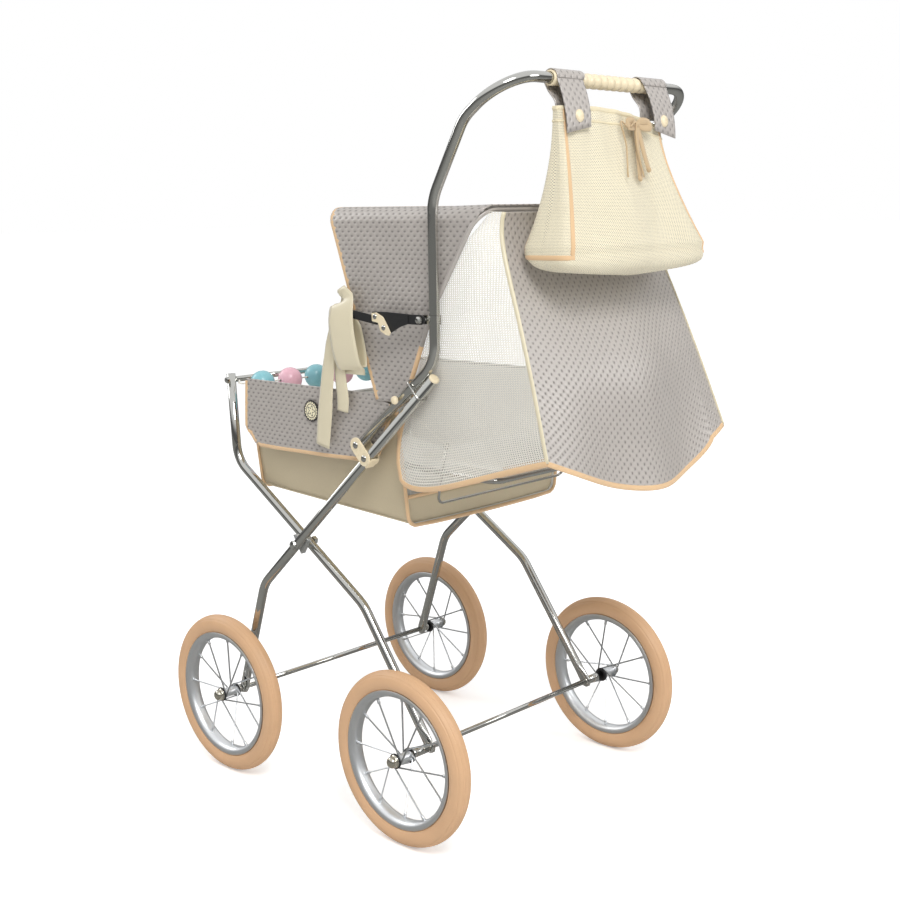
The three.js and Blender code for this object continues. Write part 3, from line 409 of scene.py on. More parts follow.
# ---------------------------------------------------------------- materials
class Nodes:
    """A material's node tree, with a short call for each kind of node."""

    def __init__(self, name):
        self.material = bpy.data.materials.new(name)
        self.material.use_nodes = True
        self.tree = self.material.node_tree
        self.shader = self.tree.nodes["Principled BSDF"]

    def node(self, kind, inputs=None, **settings):
        made = self.tree.nodes.new("ShaderNode" + kind)
        for key, value in settings.items():
            setattr(made, key, value)
        for key, value in (inputs or {}).items():
            self.set(made.inputs[key], value)
        return made

    def set(self, socket, value):
        if isinstance(value, bpy.types.NodeSocket):
            self.tree.links.new(value, socket)
        else:
            socket.default_value = value

    def math(self, operation, a, b=0.0, c=0.0):
        return self.node("Math", {0: a, 1: b, 2: c}, operation=operation).outputs[0]

    def place(self):
        """Where a point is on the pram, in metres."""
        return self.node("TexCoord").outputs["Object"]

    def cloth(self):
        """Where a point is on its cloth, from the flat attribute."""
        return self.node("Attribute", attribute_name="flat").outputs["Vector"]

    def noise(self, scale, detail=3.0, roughness=0.5, vector=None):
        inputs = {"Scale": scale, "Detail": detail, "Roughness": roughness, "Vector": vector or self.place()}
        return self.node("TexNoise", inputs).outputs["Fac"]

    def wave(self, inputs, **settings):
        return self.node("TexWave", inputs, **settings).outputs["Fac"]

    def ramp(self, factor, low, high):
        """factor stretched so that low becomes 0 and high 1."""
        inputs = {"Value": factor, "From Min": low, "From Max": high}
        return self.node("MapRange", inputs).outputs[0]

    def blend(self, factor, a, b):
        mixer = self.node("Mix", data_type="RGBA")
        self.set(mixer.inputs["Factor"], factor)
        self.set(mixer.inputs[6], a)
        self.set(mixer.inputs[7], b)
        return mixer.outputs[2]

    def bump(self, height, strength, distance, normal=None):
        inputs = {"Height": height, "Strength": strength, "Distance": distance}
        if normal is not None:
            inputs["Normal"] = normal
        return self.node("Bump", inputs).outputs[0]

    def finish(self, **values):
        """Sets the shader's inputs, whose names have _ for a space."""
        for key, value in values.items():
            self.set(self.shader.inputs[key.replace("_", " ")], value)
        return self.material


def colour(red, green, blue):
    return (red, green, blue, 1.0)


def shaded(rgb, share):
    return (rgb[0] * share, rgb[1] * share, rgb[2] * share, 1.0)


def metal(name, rgb, roughness, brushed=0.0):
    """Plated or polished metal: faint cloudiness, small pits and slightly uneven polish."""
    n = Nodes(name)
    cloud = n.noise(60, 4)
    specks = n.ramp(n.noise(900, 2), 0.62, 0.75)
    tint = n.blend(cloud, shaded(rgb, 0.93), rgb)
    tint = n.blend(n.math("MULTIPLY", specks, 0.25), tint, shaded(rgb, 0.6))
    rough = n.math("MULTIPLY_ADD", cloud, 0.08 + brushed, roughness - 0.04)
    normal = n.bump(n.noise(1200, 2), 0.03 + brushed, 0.00002)
    return n.finish(Base_Color=tint, Metallic=1.0, Roughness=rough, Normal=normal)


def moulded(name, rgb, roughness, coat=0.0):
    """Moulded plastic: a fine orange-peel surface and a slight mottle."""
    n = Nodes(name)
    tint = n.blend(n.noise(45, 3), rgb, shaded(rgb, 0.93))
    worn = n.math("MULTIPLY_ADD", n.noise(140, 4), 0.14, roughness - 0.07)
    normal = n.bump(n.noise(1400, 2), 0.08, 0.00006)
    return n.finish(Base_Color=tint, Roughness=worn, Normal=normal, Coat_Weight=coat, Coat_Roughness=0.15)


def rubber(name, rgb):
    """Solid tyre rubber: matt, with fine mould grain and paler rubbed patches."""
    n = Nodes(name)
    rubbed = n.ramp(n.noise(28, 5, 0.6), 0.42, 0.7)
    tint = n.blend(n.noise(8, 3), shaded(rgb, 1.04), shaded(rgb, 0.93))
    tint = n.blend(n.math("MULTIPLY", rubbed, 0.3), tint, shaded(rgb, 1.14))
    rough = n.math("MULTIPLY_ADD", rubbed, 0.12, 0.42)
    normal = n.bump(n.noise(1800, 3), 0.2, 0.00008)
    return n.finish(Base_Color=tint, Roughness=rough, Normal=normal)


def lattice(n, pitch_across, pitch_along):
    """Distance in cells from the nearest point of a staggered lattice on the cloth, as (across, along)."""
    split = n.node("SeparateXYZ", {0: n.cloth()})
    row = n.math("DIVIDE", split.outputs["Y"], pitch_along)
    odd = n.math("MULTIPLY", n.math("FLOORED_MODULO", n.math("FLOOR", row), 2), 0.5)
    column = n.math("ADD", n.math("DIVIDE", split.outputs["X"], pitch_across), odd)
    inside = lambda value: n.math("SUBTRACT", n.math("FRACT", value), 0.5)
    return inside(column), inside(row)


QUILT_PITCH = 0.0104
DIMPLE_DEPTH = 0.9


def quilt(name, rgb):
    """Satin quilted all over: a pressed dimple at each point of the lattice, dark with painted shade in it
    and round it, puffed and shiny between.
    """
    n = Nodes(name)
    across, along = lattice(n, QUILT_PITCH, QUILT_PITCH / 2)
    a = n.math("POWER", n.math("MULTIPLY", across, 7.4), 2)
    b = n.math("POWER", n.math("MULTIPLY", along, 2.5), 2)
    far = n.math("SQRT", n.math("ADD", a, b))
    # Masks for the painted shade: in the core of each dimple, and wider round it.
    pit_and_painted_shade = n.math("SUBTRACT", 1.0, n.ramp(far, 0.35, 1.1))
    soft = n.math("SUBTRACT", 1.0, n.ramp(far, 0.5, 2.0))
    thread = n.wave({"Vector": n.cloth(), "Scale": 900.0, "Distortion": 1.2, "Detail": 1.0})
    tint = n.blend(n.noise(14, 4), shaded(rgb, 0.94), shaded(rgb, 1.06))
    tint = n.blend(n.math("MULTIPLY", thread, 0.08), tint, shaded(rgb, 0.82))
    # Painted shade on the slope round each dimple.
    tint = n.blend(n.math("MULTIPLY", soft, 0.22), tint, shaded(rgb, 0.55))
    # Painted shade in the core of each dimple.
    tint = n.blend(n.math("MULTIPLY", pit_and_painted_shade, 0.62), tint, shaded(rgb, 0.24))
    normal = n.bump(n.math("MULTIPLY", soft, -1.0), 0.5, 0.0008)
    normal = n.bump(thread, 0.1, 0.0001, normal)
    rough = n.math("MULTIPLY_ADD", pit_and_painted_shade, 0.25, 0.31)
    return n.finish(
        Base_Color=tint,
        Roughness=rough,
        Normal=normal,
        Sheen_Weight=0.35,
        Sheen_Roughness=0.3,
        Specular_IOR_Level=0.9,
    )


def net(name, rgb, pitch, thread_share, haze=0.0):
    """Open net: threads between staggered holes. haze is how much a hole still veils what is behind it."""
    n = Nodes(name)
    across, along = lattice(n, pitch, pitch * 0.86)
    squashed = n.math("POWER", n.math("MULTIPLY", along, 0.9), 2)
    far = n.math("SQRT", n.math("ADD", n.math("POWER", across, 2), squashed))
    hole = 0.5 * (1 - thread_share)
    solid = n.ramp(far, hole * 0.82, hole * 1.12)
    solid = n.math("MULTIPLY_ADD", solid, 1.0 - haze, haze)
    tint = n.blend(n.noise(30, 3), rgb, shaded(rgb, 0.9))
    normal = n.bump(solid, 0.4, 0.0003)
    return n.finish(Base_Color=tint, Roughness=0.75, Normal=normal, Alpha=solid, Sheen_Weight=0.2)


def woven(name, rgb, scale, roughness=0.8, shine=0.0):
    """Plain woven cloth or tape: crossing threads, a slight mottle and a soft nap."""
    n = Nodes(name)
    at = n.place()
    warp = n.wave({"Vector": at, "Scale": scale}, bands_direction="X")
    weft = n.wave({"Vector": at, "Scale": scale}, bands_direction="Z")
    weave = n.math("MULTIPLY", warp, weft)
    tint = n.blend(n.noise(20, 4), shaded(rgb, 1.04), shaded(rgb, 0.9))
    tint = n.blend(n.math("MULTIPLY", weave, 0.18), tint, shaded(rgb, 0.75))
    normal = n.bump(weave, 0.3, 0.00015)
    return n.finish(
        Base_Color=tint,
        Roughness=roughness,
        Normal=normal,
        Sheen_Weight=0.25,
        Specular_IOR_Level=0.3 + shine,
    )


def leatherette(name, rgb):
    """Coated cloth with a fine pebbled grain, darker in its creases."""
    n = Nodes(name)
    pebble = n.node("TexVoronoi", {"Vector": n.place(), "Scale": 620.0}, feature="DISTANCE_TO_EDGE")
    grain = n.ramp(pebble.outputs["Distance"], 0.0, 0.12)
    worn = n.noise(11, 4)
    tint = n.blend(worn, shaded(rgb, 0.92), shaded(rgb, 1.05))
    tint = n.blend(n.math("MULTIPLY_ADD", grain, -0.22, 0.22), tint, shaded(rgb, 0.7))
    normal = n.bump(grain, 0.18, 0.00012, n.bump(n.noise(9, 3), 0.25, 0.003))
    rough = n.math("MULTIPLY_ADD", worn, 0.14, 0.42)
    return n.finish(Base_Color=tint, Roughness=rough, Normal=normal, Sheen_Weight=0.08)


def satin_ribbon(name, rgb):
    """Satin: long floats along the ribbon give a soft directional shine."""
    n = Nodes(name)
    floats = n.wave({"Vector": n.place(), "Scale": 1600.0, "Distortion": 0.6})
    tint = n.blend(n.noise(18, 2), shaded(rgb, 1.03), shaded(rgb, 0.9))
    normal = n.bump(floats, 0.08, 0.00008)
    return n.finish(
        Base_Color=tint,
        Roughness=0.32,
        Normal=normal,
        Sheen_Weight=0.4,
        Sheen_Roughness=0.3,
        Specular_IOR_Level=0.6,
    )


def fibre_board(name, rgb):
    """Pressed board, streaked by its wavy fibres."""
    n = Nodes(name)
    fibres = n.wave({"Vector": n.place(), "Scale": 90.0, "Distortion": 9.0, "Detail": 3.0})
    tint = n.blend(fibres, rgb, shaded(rgb, 0.75))
    return n.finish(Base_Color=tint, Roughness=0.8, Normal=n.bump(fibres, 0.2, 0.0002))


def badge_print(name):
    """A plain woven rosette: cream centre, dark ring of loops and a small flower. No lettering."""
    n = Nodes(name)
    split = n.node("SeparateXYZ", {0: n.place()})
    y = n.math("SUBTRACT", split.outputs["Y"], (BADGE_CENTRE[0] - LENGTH_CENTRE) * MM)
    z = n.math("SUBTRACT", split.outputs["Z"], BADGE_CENTRE[1] * MM)
    far = n.math("SQRT", n.math("ADD", n.math("POWER", y, 2), n.math("POWER", z, 2)))
    angle = n.math("ARCTAN2", z, y)
    petals = n.math("MULTIPLY_ADD", n.math("COSINE", n.math("MULTIPLY", angle, 5)), 0.0018, 0.0048)
    loops = n.math("MULTIPLY_ADD", n.math("COSINE", n.math("MULTIPLY", angle, 20)), 0.0008, 0.0112)
    flower = n.math("COMPARE", far, petals, 0.0007)
    ring = n.math("GREATER_THAN", far, loops)
    line = n.math("COMPARE", far, 0.0088, 0.0005)
    dark = n.math("MAXIMUM", n.math("MAXIMUM", flower, ring), line)
    stitches = n.noise(1500, 2)
    tint = n.blend(dark, colour(0.80, 0.74, 0.52), colour(0.035, 0.03, 0.028))
    return n.finish(Base_Color=tint, Roughness=0.7, Normal=n.bump(stitches, 0.4, 0.0002), Sheen_Weight=0.2)


CHROME = metal("chrome", colour(0.66, 0.66, 0.63), 0.07)
NICKEL = metal("nickel", colour(0.66, 0.63, 0.54), 0.18)
WHEEL_STEEL = metal("wheel_steel", colour(0.90, 0.92, 0.94), 0.42, 0.02)
BLACK_STEEL = moulded("black_steel", colour(0.018, 0.018, 0.019), 0.3, 0.3)
BLACK_RING = moulded("black_ring", colour(0.02, 0.02, 0.022), 0.45)
RUBBER = rubber("tan_rubber", colour(0.67, 0.415, 0.235))
CREAM = moulded("cream_plastic", colour(0.84, 0.72, 0.50), 0.28, 0.3)
TEAL = moulded("teal_ball", colour(0.27, 0.60, 0.67), 0.3, 0.25)
PINK = moulded("pink_ball", colour(0.95, 0.55, 0.64), 0.3, 0.25)
LEATHER = leatherette("beige_leatherette", colour(0.56, 0.475, 0.32))
GREY = quilt("grey_quilt", colour(0.44, 0.405, 0.375))
PIPING = woven("peach_piping", colour(0.74, 0.50, 0.28), 1900, 0.6, 0.15)
NET = net("cream_window_net", colour(0.84, 0.81, 0.73), 0.0033, 0.3, 0.04)
BAG_NET = net("cream_bag_net", colour(0.86, 0.79, 0.60), 0.0022, 0.4, 0.3)
BAG_HEM = woven("cream_hem", colour(0.78, 0.69, 0.48), 1600, 0.7)
SATIN = satin_ribbon("cream_satin", colour(0.72, 0.65, 0.47))
TAPE = woven("beige_tape", colour(0.56, 0.41, 0.24), 1500, 0.6, 0.1)
COTTON = woven("white_cotton", colour(0.80, 0.79, 0.75), 1100, 0.85)
CORD_FIBRE = woven("cord_fibre", colour(0.86, 0.83, 0.76), 2200, 0.8)
BOARD = fibre_board("fibre_board", colour(0.34, 0.22, 0.11))
BADGE = badge_print("badge_print")


def on(body, slot, piece, *nodes):
    """The piece rides on the body and stands for the CAD nodes. slot is not used."""
    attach(piece, body)
    if nodes:
        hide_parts(*nodes)
    return piece


# ---------------------------------------------------------------- cords
def bag_rear(z):
    """The y of the bag's rear face at a height."""
    return mix(378, 344, (z - BAG_BOTTOM_Z) / (BAG_TOP_Z - BAG_BOTTOM_Z))


def cord_length(line):
    return sum((b - a).length for a, b in zip(line, line[1:]))


def make_drawstring(hand, side):
    """One free end of the bag's drawstring: out of the knot, over in a loop and down to its own knot."""
    route = [(3, 842), (14, 846), (10, 822), (15, 786)]
    line = catmull([place(side * x, (bag_rear(z) + 2, z)) for x, z in route], 8)
    cord = tube(f"drawstring_{hand}_cord", line, CORD, TAPE, 12, twist=160, lobes=3)
    on("bag", "cord", cord, f"drawstring_{hand}")
    length = cord_length(line)
    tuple(line[0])


def make_recline_cord(hand, side):
    """The twisted cord from the tub's rear corner to the end of the backrest's frame, held at both ends."""
    top = place(side * 150, (127.6, 528))
    low = place(side * 130.5, (243, 450))
    middle = (top + low) / 2 - Vector((0, 0, 3 * MM))
    line = catmull([top, middle, low], 24)
    cord = tube(f"recline_cord_{hand}_twist", line, CORD, CORD_FIBRE, 12, twist=150, lobes=2)
    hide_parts(f"recline_cord_{hand}")
    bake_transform(cord)
    cord_length(line)


for hand, side in SIDES:
    make_drawstring(hand, side)
    make_recline_cord(hand, side)


# ---------------------------------------------------------------- wheels and axles
def tyre_profile():
    """A round section with three fine moulded grooves on each side."""
    centre = WHEEL_RADIUS - TYRE_SECTION
    points, steps = [], 120
    for k in range(steps):
        angle = 2 * math.pi * k / steps
        from_tread = abs(math.remainder(angle, 2 * math.pi))
        groove = sum(math.exp(-(((from_tread - math.radians(at)) / 0.045) ** 2)) for at in (14, 26, 52))
        radius = TYRE_SECTION - 0.7 * groove
        points.append((centre + radius * math.cos(angle), radius * math.sin(angle)))
    return [*points, points[0]]


# The wheel's profiles are (radius, x from its middle plane).
RIM = [
    (85.8, -9.7), (84.6, -10.3), (80.5, -9.4), (77.6, -6.8), (76.4, -3), (76.2, 0), (76.4, 3), (77.6, 6.8),
    (80.5, 9.4), (84.6, 10.3), (85.8, 9.7), (84.4, 8.6), (82.6, 5), (82.2, 0), (82.6, -5), (84.4, -8.6),
    (85.8, -9.7),
]
HUB = [
    (3.8, -14), (8.2, -14), (9.4, -13.4), (9.4, -11.8), (7, -11), (6.3, -9), (6.1, 0), (6.3, 9), (7, 10),
    (9.4, 10.6), (9.4, 11.5), (8.2, 12), (3.8, 12), (3.8, -14),
]
HUB_SLOTS = [1] * 4 + [0] * 5 + [1] * 4
SPOKES = 12


def spoke(at, index, side):
    """Each spoke leaves the hub flange along a tangent, and neighbours cross."""
    lean = 1 if index % 2 else -1
    rim_angle = index / SPOKES * 2 * math.pi
    hub_angle = rim_angle + lean * math.radians(75)
    polar = lambda x, r, a: place(side * x, (at[0] + r * math.sin(a), at[1] + r * math.cos(a)))
    start = polar(WHEEL_PLANE + lean * 10, 8, hub_angle)
    end = polar(WHEEL_PLANE + lean * 2, 77.5, rim_angle)
    nipple = start.lerp(end, 0.9)
    line = [start, nipple, nipple.lerp(end, 0.05), end]
    return tube("spoke", line, [1.1, 1.1, 1.9, 1.9], WHEEL_STEEL, 10)


def make_wheel(end, hand, side, at):
    """A rubber tyre on a steel rim, wire spokes, and a hub with black ends."""
    body = f"{end}_wheel_{hand}"
    shift = lambda profile: [(r, x + WHEEL_PLANE) for r, x in profile]
    tyre = turned(f"tyre_{end}_{hand}_rubber", shift(tyre_profile()), at, RUBBER, 112, side)
    on(body, "tyre_rubber", tyre, f"tyre_{end}_{hand}")
    rim = turned("rim", shift(RIM), at, WHEEL_STEEL, 96, side)
    hub = turned("hub", shift(HUB), at, [WHEEL_STEEL, BLACK_RING], 40, side, HUB_SLOTS)
    spokes = [spoke(at, index, side) for index in range(SPOKES)]
    on(body, "wheel_steel", join(f"wheel_{end}_{hand}_spoked", [rim, hub, *spokes]), f"wheel_{end}_{hand}")


def make_axle(name, body, at, plane):
    """The rod with a sleeve inside each hub and a washer and domed cap nut outside it."""
    parts = [tube("rod", [place(-216, at), place(216, at)], AXLE, CHROME, 24)]
    for _, side in SIDES:
        sleeve_to = WHEEL_PLANE - 14.3
        sleeve = [(0, plane + 6.3), (5.5, plane + 6.3), (5.5, sleeve_to), (0, sleeve_to)]
        parts.append(turned("sleeve", sleeve, at, CHROME, 24, side))
        foot = WHEEL_PLANE + 12.5
        nut = [(0, foot), (8.2, foot), (8.2, foot + 0.8), (7.1, foot + 0.9), (7.1, foot + 4), (6.7, foot + 6)]
        nut += [(5.6, foot + 7.8), (3.6, foot + 9), (0, foot + 9.6)]
        parts.append(turned("nut", nut, at, NICKEL, 40, side))
    on(body, "chrome", join(f"{name}_turned", parts), name)


for hand, side in SIDES:
    make_wheel("front", hand, side, FRONT_AXLE)
    make_wheel("rear", hand, side, REAR_AXLE)
make_axle("front_axle", "root", FRONT_AXLE, FRONT_LEG_PLANE)
make_axle("rear_axle", "rear_frame", REAR_AXLE, REAR_LEG_PLANE)


# ---------------------------------------------------------------- tubes of the frame
def flattened_start(line, eye=8.0):
    """Stations and radii for a tube whose first end is pressed flat and rounded round its axle."""
    along = (line[1] - line[0]).normalized()
    stations, radii = [], []
    for back in (eye, 0.93 * eye, 0.75 * eye, 0.5 * eye, 0.0):
        stations.append(line[0] - along * back * MM)
        radii.append((3.4, max(0.6, math.sqrt(eye**2 - back**2))))
    for ahead, share in ((6, 0.0), (11, 0.15), (16, 0.5), (21, 0.85), (27, 1.0)):
        stations.append(line[0] + along * ahead * MM)
        radii.append((mix(3.4, TUBE, share), mix(eye, TUBE, share)))
    return [*stations, *line[1:]], [*radii, *[(TUBE, TUBE)] * (len(line) - 1)]


def make_leg(name, body, side, plane, corners):
    line = round_corners([(place(side * plane, at), radius) for at, radius in corners])
    stations, radii = flattened_start(line)
    on(body, "chrome", tube(f"{name}_tube", stations, radii, CHROME, 28), name)


def mirrored(corners):
    back = [(Vector((-p.x, p.y, p.z)), radius) for p, radius in reversed(corners)]
    return [*corners, *back]


def make_bow(name, body, plane, waist, top):
    """A wire bow over the pram with an eye on each hood pin."""
    reach = Vector((0, waist[0] - HOOD_PIVOT[0], waist[1] - HOOD_PIVOT[1])).normalized() * 3.3
    start = (HOOD_PIVOT[0] + reach.y, HOOD_PIVOT[1] + reach.z)
    corners = [(place(plane, start), 0), (place(plane, waist), 12), (place(plane, top), 28)]
    parts = [tube("wire", round_corners(mirrored(corners)), WIRE, CHROME, 14)]
    inner, outer = plane - WIRE, plane + WIRE
    eye = [(2.3, inner), (4.3, inner), (4.3, outer), (2.3, outer), (2.3, inner)]
    parts += [turned("eye", eye, HOOD_PIVOT, CHROME, 24, side) for _, side in SIDES]
    if name == "hood_front_bow":
        for _, side in SIDES:
            pin = [(0, plane), (WIRE, plane), (WIRE, 180.1), (0, 180.3)]
            parts.append(turned("pin", pin, STAY_FRONT, CHROME, 16, side))
    on(body, "chrome", join(f"{name}_wire", parts), name)


for hand, side in SIDES:
    make_leg(f"front_leg_{hand}", "root", side, FRONT_LEG_PLANE,
             [(FRONT_AXLE, 0), (FRONT_LEG_KNEE, 50), (FRONT_LEG_TOP, 0)])
    make_leg(f"rear_leg_{hand}", "rear_frame", side, REAR_LEG_PLANE,
             [(REAR_AXLE, 0), (REAR_LEG_KNEE, 60), (REAR_LEG_ELBOW, 40), (REAR_LEG_TOP, 0)])
make_bow("hood_front_bow", "hood_bow", FRONT_BOW_PLANE, FRONT_BOW_FOOT, FRONT_BOW_TOP)
make_bow("hood_rear_bow", "handle", REAR_BOW_PLANE, REAR_BOW_WAIST, REAR_BOW_TOP)

bar_end = REAR_LEG_PLANE - TUBE - 0.3
on("rear_frame", "chrome",
   tube("front_bar_rod", [place(-bar_end, FRONT_BAR), place(bar_end, FRONT_BAR)], 4, CHROME, 24), "front_bar")

handle_start = (HANDLE_PIVOT[0] - 5.1, HANDLE_PIVOT[1] - 4.3)
handle_corners = [(place(HANDLE_PLANE, handle_start), 0)] + [
    (place(HANDLE_PLANE, at), radius)
    for at, radius in ((HANDLE_KNEE, 45), (HANDLE_SHOULDER, 60), (HANDLE_NECK, 50), (GRIP, 50))
]
handle_line = round_corners(mirrored(handle_corners), math.radians(5))
on("handle", "chrome", tube("handle_tube", handle_line, TUBE, CHROME, 32), "handle")

frame_corners = [
    (place(BACKREST_HALF, BACKREST_HINGE), 0),
    (place(BACKREST_HALF, (BACKREST_END, 444)), 16),
]
hoop_corners = [(place(119.4, (172, 476)), 0), (place(119.4, (156, 404)), 10)]
rest_parts = [tube("arms", round_corners(mirrored(frame_corners)), AXLE, CHROME, 20)]
for _, side in SIDES:
    eye = [(0, 123), (5, 123), (5, 127), (0, 127)]
    rest_parts.append(turned("eye", eye, BACKREST_HINGE, CHROME, 24, side))
on("backrest", "chrome", join("backrest_frame_tube", rest_parts), "backrest_frame")
hoop_parts = [tube("hoop", round_corners(mirrored(hoop_corners)), 1.75, CHROME, 12)]
for _, side in SIDES:
    eyelet = [(1.8, 117.9), (4.2, 117.9), (4.2, 120.9), (1.8, 120.9), (1.8, 117.9)]
    hoop_parts.append(turned("eyelet", eyelet, (172, 476), CHROME, 20, side))
on("backrest", "chrome", join("support_hoop_wire", hoop_parts), "support_hoop")


# ---------------------------------------------------------------- small fittings
leg_slope = math.atan2(FRONT_LEG_TOP[1] - FRONT_LEG_KNEE[1], FRONT_LEG_TOP[0] - FRONT_LEG_KNEE[0])


def up_the_leg(at, distance, away=0.0):
    """A place further along the front leg's upper run, and away from it."""
    cosine, sine = math.cos(leg_slope), math.sin(leg_slope)
    return at[0] + distance * cosine - away * sine, at[1] + distance * sine + away * cosine


def make_leg_cap(hand, side):
    """A cream plug over the top end of the front leg's tube."""
    reach = [0.2, 0.5, 2.4, 3.1, 3.3]
    radii = [6.0, 6.4, 6.4, 5.6, 3.6]
    line = [place(side * FRONT_LEG_PLANE, up_the_leg(FRONT_LEG_TOP, distance)) for distance in reach]
    on("root", "cream_plastic", tube(f"front_leg_cap_{hand}_moulded", line, radii, CREAM, 28),
       f"front_leg_cap_{hand}")


def make_handle_clamp(hand, side):
    """Two cream cheeks either side of the tubes, with a domed rivet through each end."""
    inner, outer = HANDLE_PLANE - TUBE - 0.3, HANDLE_PLANE + TUBE + 0.3
    outline = stadium(HANDLE_PIVOT, CLAMP_ON_LEG, 9.5)
    parts = [
        plate("cheek", outline, outer, outer + 2.2, CREAM, 0.6, side),
        plate("cheek", outline, inner - 2.2, inner, CREAM, 0.6, side),
    ]
    for at in (HANDLE_PIVOT, CLAMP_ON_LEG):
        parts.append(dome(at, 4.4, outer + 2.1, 2.3, CHROME, side))
        parts.append(dome(at, 4.4, inner - 2.1, -1.4, CHROME, side))
    under = up_the_leg(CLAMP_ON_LEG, 0, -3)
    saddle = [up_the_leg(under, d, a) for d, a in ((-8, -6.4), (8, -6.4), (8, -4.2), (-8, -4.2))]
    parts.append(plate("saddle", saddle, inner, outer, CREAM, 0.4, side))
    on("root", "cream_plastic", join(f"handle_clamp_{hand}_riveted", parts), f"handle_clamp_{hand}")


def make_lock_ring(hand, side):
    """An oval wire ring round the leg and the handle's tube."""
    seat = up_the_leg(FRONT_LEG_TOP, -30)
    slope = (HANDLE_KNEE[1] - HANDLE_PIVOT[1]) / (HANDLE_KNEE[0] - HANDLE_PIVOT[0])
    rise = HANDLE_PIVOT[1] + (seat[0] - HANDLE_PIVOT[0]) * slope - seat[1]
    reach = rise / (math.cos(leg_slope) + math.sin(leg_slope) * slope)
    loop = stadium((0, 0), (reach, 0), TUBE + 2.1, 14)
    line = [place(side * (HANDLE_PLANE + across), up_the_leg(seat, 1.25, away)) for away, across in loop]
    ring = tube(f"lock_ring_{hand}_wire", line, 1.25, CHROME, 12, closed=True)
    on(f"lock_ring_{hand}", "chrome", ring, f"lock_ring_{hand}")


def make_hood_pin(hand, side):
    """The cream knob on the handle's tube, with the pin that carries both bows."""
    foot = HANDLE_PLANE + TUBE + 0.3
    head = [(0, foot), (2.6, foot), (3, foot + 1), (4.9, foot + 2), (5.1, foot + 3.2), (4.7, foot + 5)]
    head += [(3.2, foot + 6.5), (0, foot + 7)]
    shank = [(0, 155.5), (3.6, 155.5), (3.6, 157.8), (WIRE, 157.9), (WIRE, foot + 0.5), (0, foot + 0.5)]
    parts = [
        turned("head", head, HOOD_PIVOT, CREAM, 32, side),
        turned("shank", shank, HOOD_PIVOT, CHROME, 20, side),
    ]
    on("handle", "cream_plastic", join(f"hood_pin_{hand}_turned", parts), f"hood_pin_{hand}")


def make_stay(hand, side):
    """Two flat black links, and a cream dog-leg plate with two rivets where they fold."""
    outline = [
        (119, 638.4), (142, 638.9), (182, 637.6), (199, 637.6), (203.4, 635.6), (204.6, 631.6), (203, 627.8),
        (199, 626.4), (177, 626.2), (164, 622.3), (146, 613.3), (131, 624), (119, 625),
    ]
    elbow = [
        (120, 636.8), (128, 637.8), (139.2, 633), (147.2, 622), (151.2, 615.4), (149, 611.8), (142.7, 612.5),
        (134.4, 616.6), (130.6, 625.7), (120.5, 627.6),
    ]
    rib = [(177.4, 627), (179, 627), (179, 637), (177.4, 637)]
    rear = [
        plate("link", outline, 183.2, 185.2, BLACK_STEEL, 0.4, side),
        plate("rib", rib, 185, 186.2, BLACK_STEEL, 0.3, side),
        plate("elbow", elbow, 186.0, 187.4, CREAM, 0.5, side),
        dome((125.8, 633), 3.3, 187.3, 1.9, CHROME, side),
        dome((140, 620.6), 3.3, 187.3, 1.9, CHROME, side),
    ]
    rivet = [(0, 182), (WIRE, 182), (WIRE, 187), (0, 187)]
    front = [
        plate("link", stadium(STAY_ELBOW, STAY_FRONT, 5), 180.6, 182.8, BLACK_STEEL, 0.4, side),
        turned("rivet", rivet, STAY_ELBOW, CHROME, 16, side),
        dome(STAY_FRONT, 2.8, 182.7, 1.5, CHROME, side),
    ]
    for end, parts in (("rear", rear), ("front", front)):
        node = f"stay_{end}_link_{hand}"
        on(f"stay_{end}_{hand}", "black_steel", join(f"{node}_plate", parts), node)


def make_grip():
    """A cream sleeve with plain ends and fifteen soft swellings."""
    plain, rings, fine = 10, 15, 10
    pitch = 2 * (GRIP_HALF - plain) / rings
    bore, mouth = 6.4, 7.6
    profile = [(bore, -GRIP_HALF), (mouth, -GRIP_HALF)]
    profile += [(GRIP_RADIUS, -GRIP_HALF + 0.8), (GRIP_RADIUS, -GRIP_HALF + plain)]
    for k in range(1, rings * fine):
        swell = abs(math.sin(math.pi * k / fine)) ** 0.7
        profile.append((GRIP_RADIUS - 1.7 * (1 - swell), -GRIP_HALF + plain + pitch * k / fine))
    profile += [(GRIP_RADIUS, GRIP_HALF - plain), (GRIP_RADIUS, GRIP_HALF - 0.8)]
    profile += [(mouth, GRIP_HALF), (bore, GRIP_HALF), (bore, -GRIP_HALF)]
    on("handle", "cream_plastic", turned("grip_moulded", profile, GRIP, CREAM, 40), "grip")


for hand, side in SIDES:
    make_leg_cap(hand, side)
    make_handle_clamp(hand, side)
    make_lock_ring(hand, side)
    make_hood_pin(hand, side)
    make_stay(hand, side)
make_grip()


def finish_node(name, material):
    """A piece that is shown as the CAD made it, in its material."""
    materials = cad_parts[name].data.materials
    materials.clear()
    materials.append(material)


for hand, _ in SIDES:
    finish_node(f"crossing_bolt_{hand}", CHROME)
    finish_node(f"crossing_bracket_{hand}", WHEEL_STEEL)
    finish_node(f"front_bar_nut_{hand}", CHROME)
    finish_node(f"stay_clamp_{hand}", CHROME)
finish_node("base_board", BOARD)


